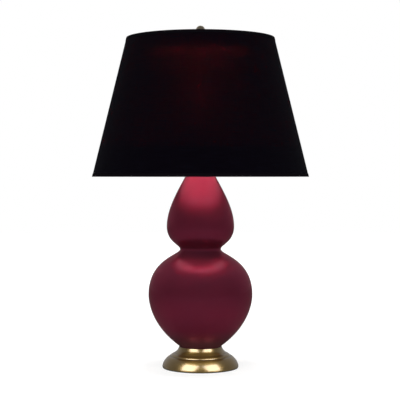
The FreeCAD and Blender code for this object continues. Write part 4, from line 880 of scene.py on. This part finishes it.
PLAIN_FITTINGS = (
    (("centre_rod", "base_washer", "base_lock_washer", "base_nut", "cap_set_screw", "terminal_screws",
      "shade_top_ring", "shade_bottom_ring", "centre_contact", "ring_contact", "bulb_contacts"),
     dict(name="zinc_steel", first=(0.45, 0.45, 0.44), second=(0.58, 0.58, 0.56), roughness=0.38, metallic=1.0)),
    (("base_weight",),
     dict(name="cast_iron", first=(0.03, 0.03, 0.032), second=(0.06, 0.055, 0.05), roughness=0.7, metallic=0.6,
          scale=260.0, relief=0.4)),
    (("cord_bushing",),
     dict(name="bushing_rubber", first=(0.012, 0.012, 0.012), second=(0.02, 0.02, 0.02), roughness=0.55)),
    (("seat_gasket",),
     dict(name="gasket_rubber", first=(0.02, 0.018, 0.017), second=(0.03, 0.028, 0.026), roughness=0.7)),
    (("switch_block", "switch_shaft", "switch_knob", "bulb_gland"),
     dict(name="moulded_black", first=(0.010, 0.009, 0.008), second=(0.018, 0.016, 0.014), roughness=0.32)),
    (("socket_liner",),
     dict(name="liner_card", first=(0.30, 0.22, 0.13), second=(0.38, 0.29, 0.18), roughness=0.85)),
    (("screw_shell", "bulb_cap"),
     dict(name="rolled_aluminium", first=(0.62, 0.62, 0.62), second=(0.74, 0.74, 0.73), roughness=0.3, metallic=1.0)),
    (("inner_lead", "lead_tails"),
     dict(name="lead_sheath", first=(0.02, 0.02, 0.02), second=(0.04, 0.035, 0.03), roughness=0.5)),
    (("bulb_stem", "bulb_filaments"),
     dict(name="clear_glass", first=(0.8, 0.8, 0.78), second=(0.88, 0.88, 0.86), roughness=0.1)),
)


class LAMP_OT_fittings(bpy.types.Operator):
    """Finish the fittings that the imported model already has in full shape"""
    bl_idname = "lamp.finish_fittings"
    bl_label = "Fittings"

    def execute(self, context):
        polished = brass_material("lacquered_brass", (0.62, 0.43, 0.18), (0.34, 0.21, 0.08), 0.2, 0.5)
        dress(["neck_cap", "neck_spool", "harp_saddle", "harp_bow", "harp_sleeve_left", "harp_sleeve_right",
               "harp_stud", "spider_washer", "socket_cap", "socket_shell", "spider_arms"], polished)
        for nodes, finish in PLAIN_FITTINGS:
            dress(nodes, plain_material(**finish))
        self.felt()
        return {"FINISHED"}

    def felt(self):
        """Bottle-green baize: short matted fibres in swirls."""
        material, g = fresh("felt_pad")
        point = g.point()
        mat = g.noise(point, 300.0, 5.0, 0.7, 1.5)
        fibre = g.noise(point, 1500.0, 3.0, 0.7, 2.0)
        tone = g.colours(g.between(mat * 0.5 + fibre * 0.5, 0.35, 0.65), (0.008, 0.022, 0.014), (0.02, 0.05, 0.032))
        g.surface(g.principled(Base_Color=tone, Roughness=0.95, Specular_IOR_Level=0.1, Sheen_Weight=0.4,
                               Sheen_Roughness=0.6, Normal=g.bump(mat + fibre, 0.6, 0.0012)))
        dress(["felt_pad"], material)


class LAMP_OT_stage(bpy.types.Operator):
    """Set up the pale floor, the soft lights, the white surroundings and the camera"""
    bl_idname = "lamp.build_stage"
    bl_label = "Stage"

    def execute(self, context):
        scene, stage = context.scene, context.scene.lamp_stage
        scene.view_settings.view_transform = "Standard"
        self.floor(scene, stage)
        self.surroundings(scene)
        for name, spot, share in SOFT_LIGHTS:
            self.area(scene, name, spot, LAMP_MIDDLE, stage.key * share, (SOFT_SIZE, SOFT_SIZE), gloss=False)
        self.skylight(scene, stage.skylight)
        for name, turn in WINDOWS:
            self.window(scene, name, math.radians(turn), stage.window)
        camera = bpy.data.cameras.new("camera")
        camera.lens, camera.sensor_width = LENS, SENSOR
        camera.clip_start, camera.clip_end = 0.05, 50.0
        eye = bpy.data.objects.new("camera", camera)
        eye.location = (EYE_ASIDE, -stage.distance, stage.height)
        eye.rotation_euler = (math.pi / 2 - stage.pitch, 0, 0)
        scene.collection.objects.link(eye)
        scene.camera = eye
        return {"FINISHED"}

    def floor(self, scene, stage):
        """A wide plane under the lamp, white to the camera and softly shaded by the lamp."""
        corner = np.linspace(-FLOOR_HALF, FLOOR_HALF, 5)
        x, y = np.meshgrid(corner, corner, indexing="xy")
        mesh = grid_mesh("floor", np.stack([x, y, np.full_like(x, FLOOR_LEVEL)], axis=-1), wrap_columns=False)
        material, g = fresh("floor")
        point = g.point()
        tone = g.colours(g.noise(point, 3.0, 2.0) * 0.3, tuple(stage.floor), tuple(0.97 * c for c in stage.floor))
        x, y, _ = g.split(point)
        far = g.between((x * x + y * y) ** 0.5, 0.5, 2.2)
        seen, mirrored = g.rays()
        glow = g.colours(seen * (0.72 + far * 0.28) + mirrored * 0.08, (0, 0, 0), (1, 1, 1))
        g.surface(g.principled(Base_Color=g.colours(mirrored * 0.6, tone, (0, 0, 0)), Specular_IOR_Level=0.0,
                               Emission_Color=glow, Emission_Strength=1.0))
        mesh.materials.append(material)
        floor = bpy.data.objects.new("floor", mesh)
        scene.collection.objects.link(floor)

    def surroundings(self, scene):
        """White all round to the camera; to polished surfaces a pale room that is dimmer in front."""
        world = scene.world or bpy.data.worlds.new("surroundings")
        scene.world = world
        g = Graph(world)
        y = g.split(g.node("ShaderNodeTexCoord", output="Generated"))[1]
        seen, mirrored = g.rays()
        room = g.between(y, -0.2, 0.9, 0.10, 0.32)
        strength = seen + mirrored * room + (1.0 - (seen + mirrored).clamp()) * 0.42
        g.surface(g.node("ShaderNodeBackground", None, (1, 1, 1, 1), strength), "ShaderNodeOutputWorld")

    def skylight(self, scene, power):
        """Studio light that falls in at the shade's top: a disc in the opening, unseen itself."""
        light = bpy.data.lights.new("top_light", "AREA")
        light.shape, light.size, light.energy = "DISK", TOP_LIGHT_SIZE, power
        lamp = bpy.data.objects.new("top_light", light)
        lamp.location = (0, 0, TOP_LIGHT_LEVEL)
        lamp.visible_glossy = False
        lamp.visible_camera = False
        scene.collection.objects.link(lamp)

    def window(self, scene, name, turn, power):
        """A tall soft window that only the brass base mirrors, turned round the lamp from the front."""
        spot = (WINDOW_AWAY * math.sin(turn), -WINDOW_AWAY * math.cos(turn), WINDOW_MIDDLE)
        window = self.area(scene, name, spot, WINDOW_AIM, power, (WINDOW_SIZE, WINDOW_TALL), gloss=True)
        brass = bpy.data.collections.new(name + "_on_brass")
        brass.objects.link(bpy.data.objects["brass_base"])
        window.light_linking.receiver_collection = brass

    def area(self, scene, name, spot, target, power, size, gloss):
        """A rectangular light that faces its target. It either lights dull surfaces or shows in polished ones."""
        light = bpy.data.lights.new(name, "AREA")
        light.shape, light.energy = "RECTANGLE", power
        light.size, light.size_y = size
        lamp = bpy.data.objects.new(name, light)
        lamp.location = spot
        lamp.rotation_euler = (Vector(target) - Vector(spot)).to_track_quat("-Z", "Y").to_euler()
        lamp.visible_glossy = gloss
        lamp.visible_diffuse = not gloss
        lamp.visible_transmission = False
        lamp.visible_camera = False
        scene.collection.objects.link(lamp)
        return lamp


STEPS = (LAMP_OT_gourd, LAMP_OT_base, LAMP_OT_shade, LAMP_OT_finial, LAMP_OT_bulb, LAMP_OT_fittings, LAMP_OT_stage)
GROUPS = (LampFinishes, LampSizes, LampStage)


class LAMP_PT_panel(bpy.types.Panel):
    """The lamp's sizes, colours and building steps."""
    bl_label = "Double gourd lamp"
    bl_space_type = "VIEW_3D"
    bl_region_type = "UI"
    bl_category = "Gourd lamp"

    def draw(self, context):
        for owner in (context.scene.lamp_finishes, context.scene.lamp_sizes, context.scene.lamp_stage):
            box = self.layout.box()
            for name in owner.__annotations__:
                box.prop(owner, name)
        for step in STEPS:
            self.layout.operator(step.bl_idname)


def register():
    for item in GROUPS + STEPS + (LAMP_PT_panel,):
        bpy.utils.register_class(item)
    bpy.types.Scene.lamp_finishes = bpy.props.PointerProperty(type=LampFinishes)
    bpy.types.Scene.lamp_sizes = bpy.props.PointerProperty(type=LampSizes)
    bpy.types.Scene.lamp_stage = bpy.props.PointerProperty(type=LampStage)


def unregister():
    for name in ("lamp_finishes", "lamp_sizes", "lamp_stage"):
        delattr(bpy.types.Scene, name)
    for item in reversed(GROUPS + STEPS + (LAMP_PT_panel,)):
        bpy.utils.unregister_class(item)


def main():
    register()
    for step in STEPS:
        family, name = step.bl_idname.split(".")
        getattr(getattr(bpy.ops, family), name)()


if __name__ == "__main__":
    main()
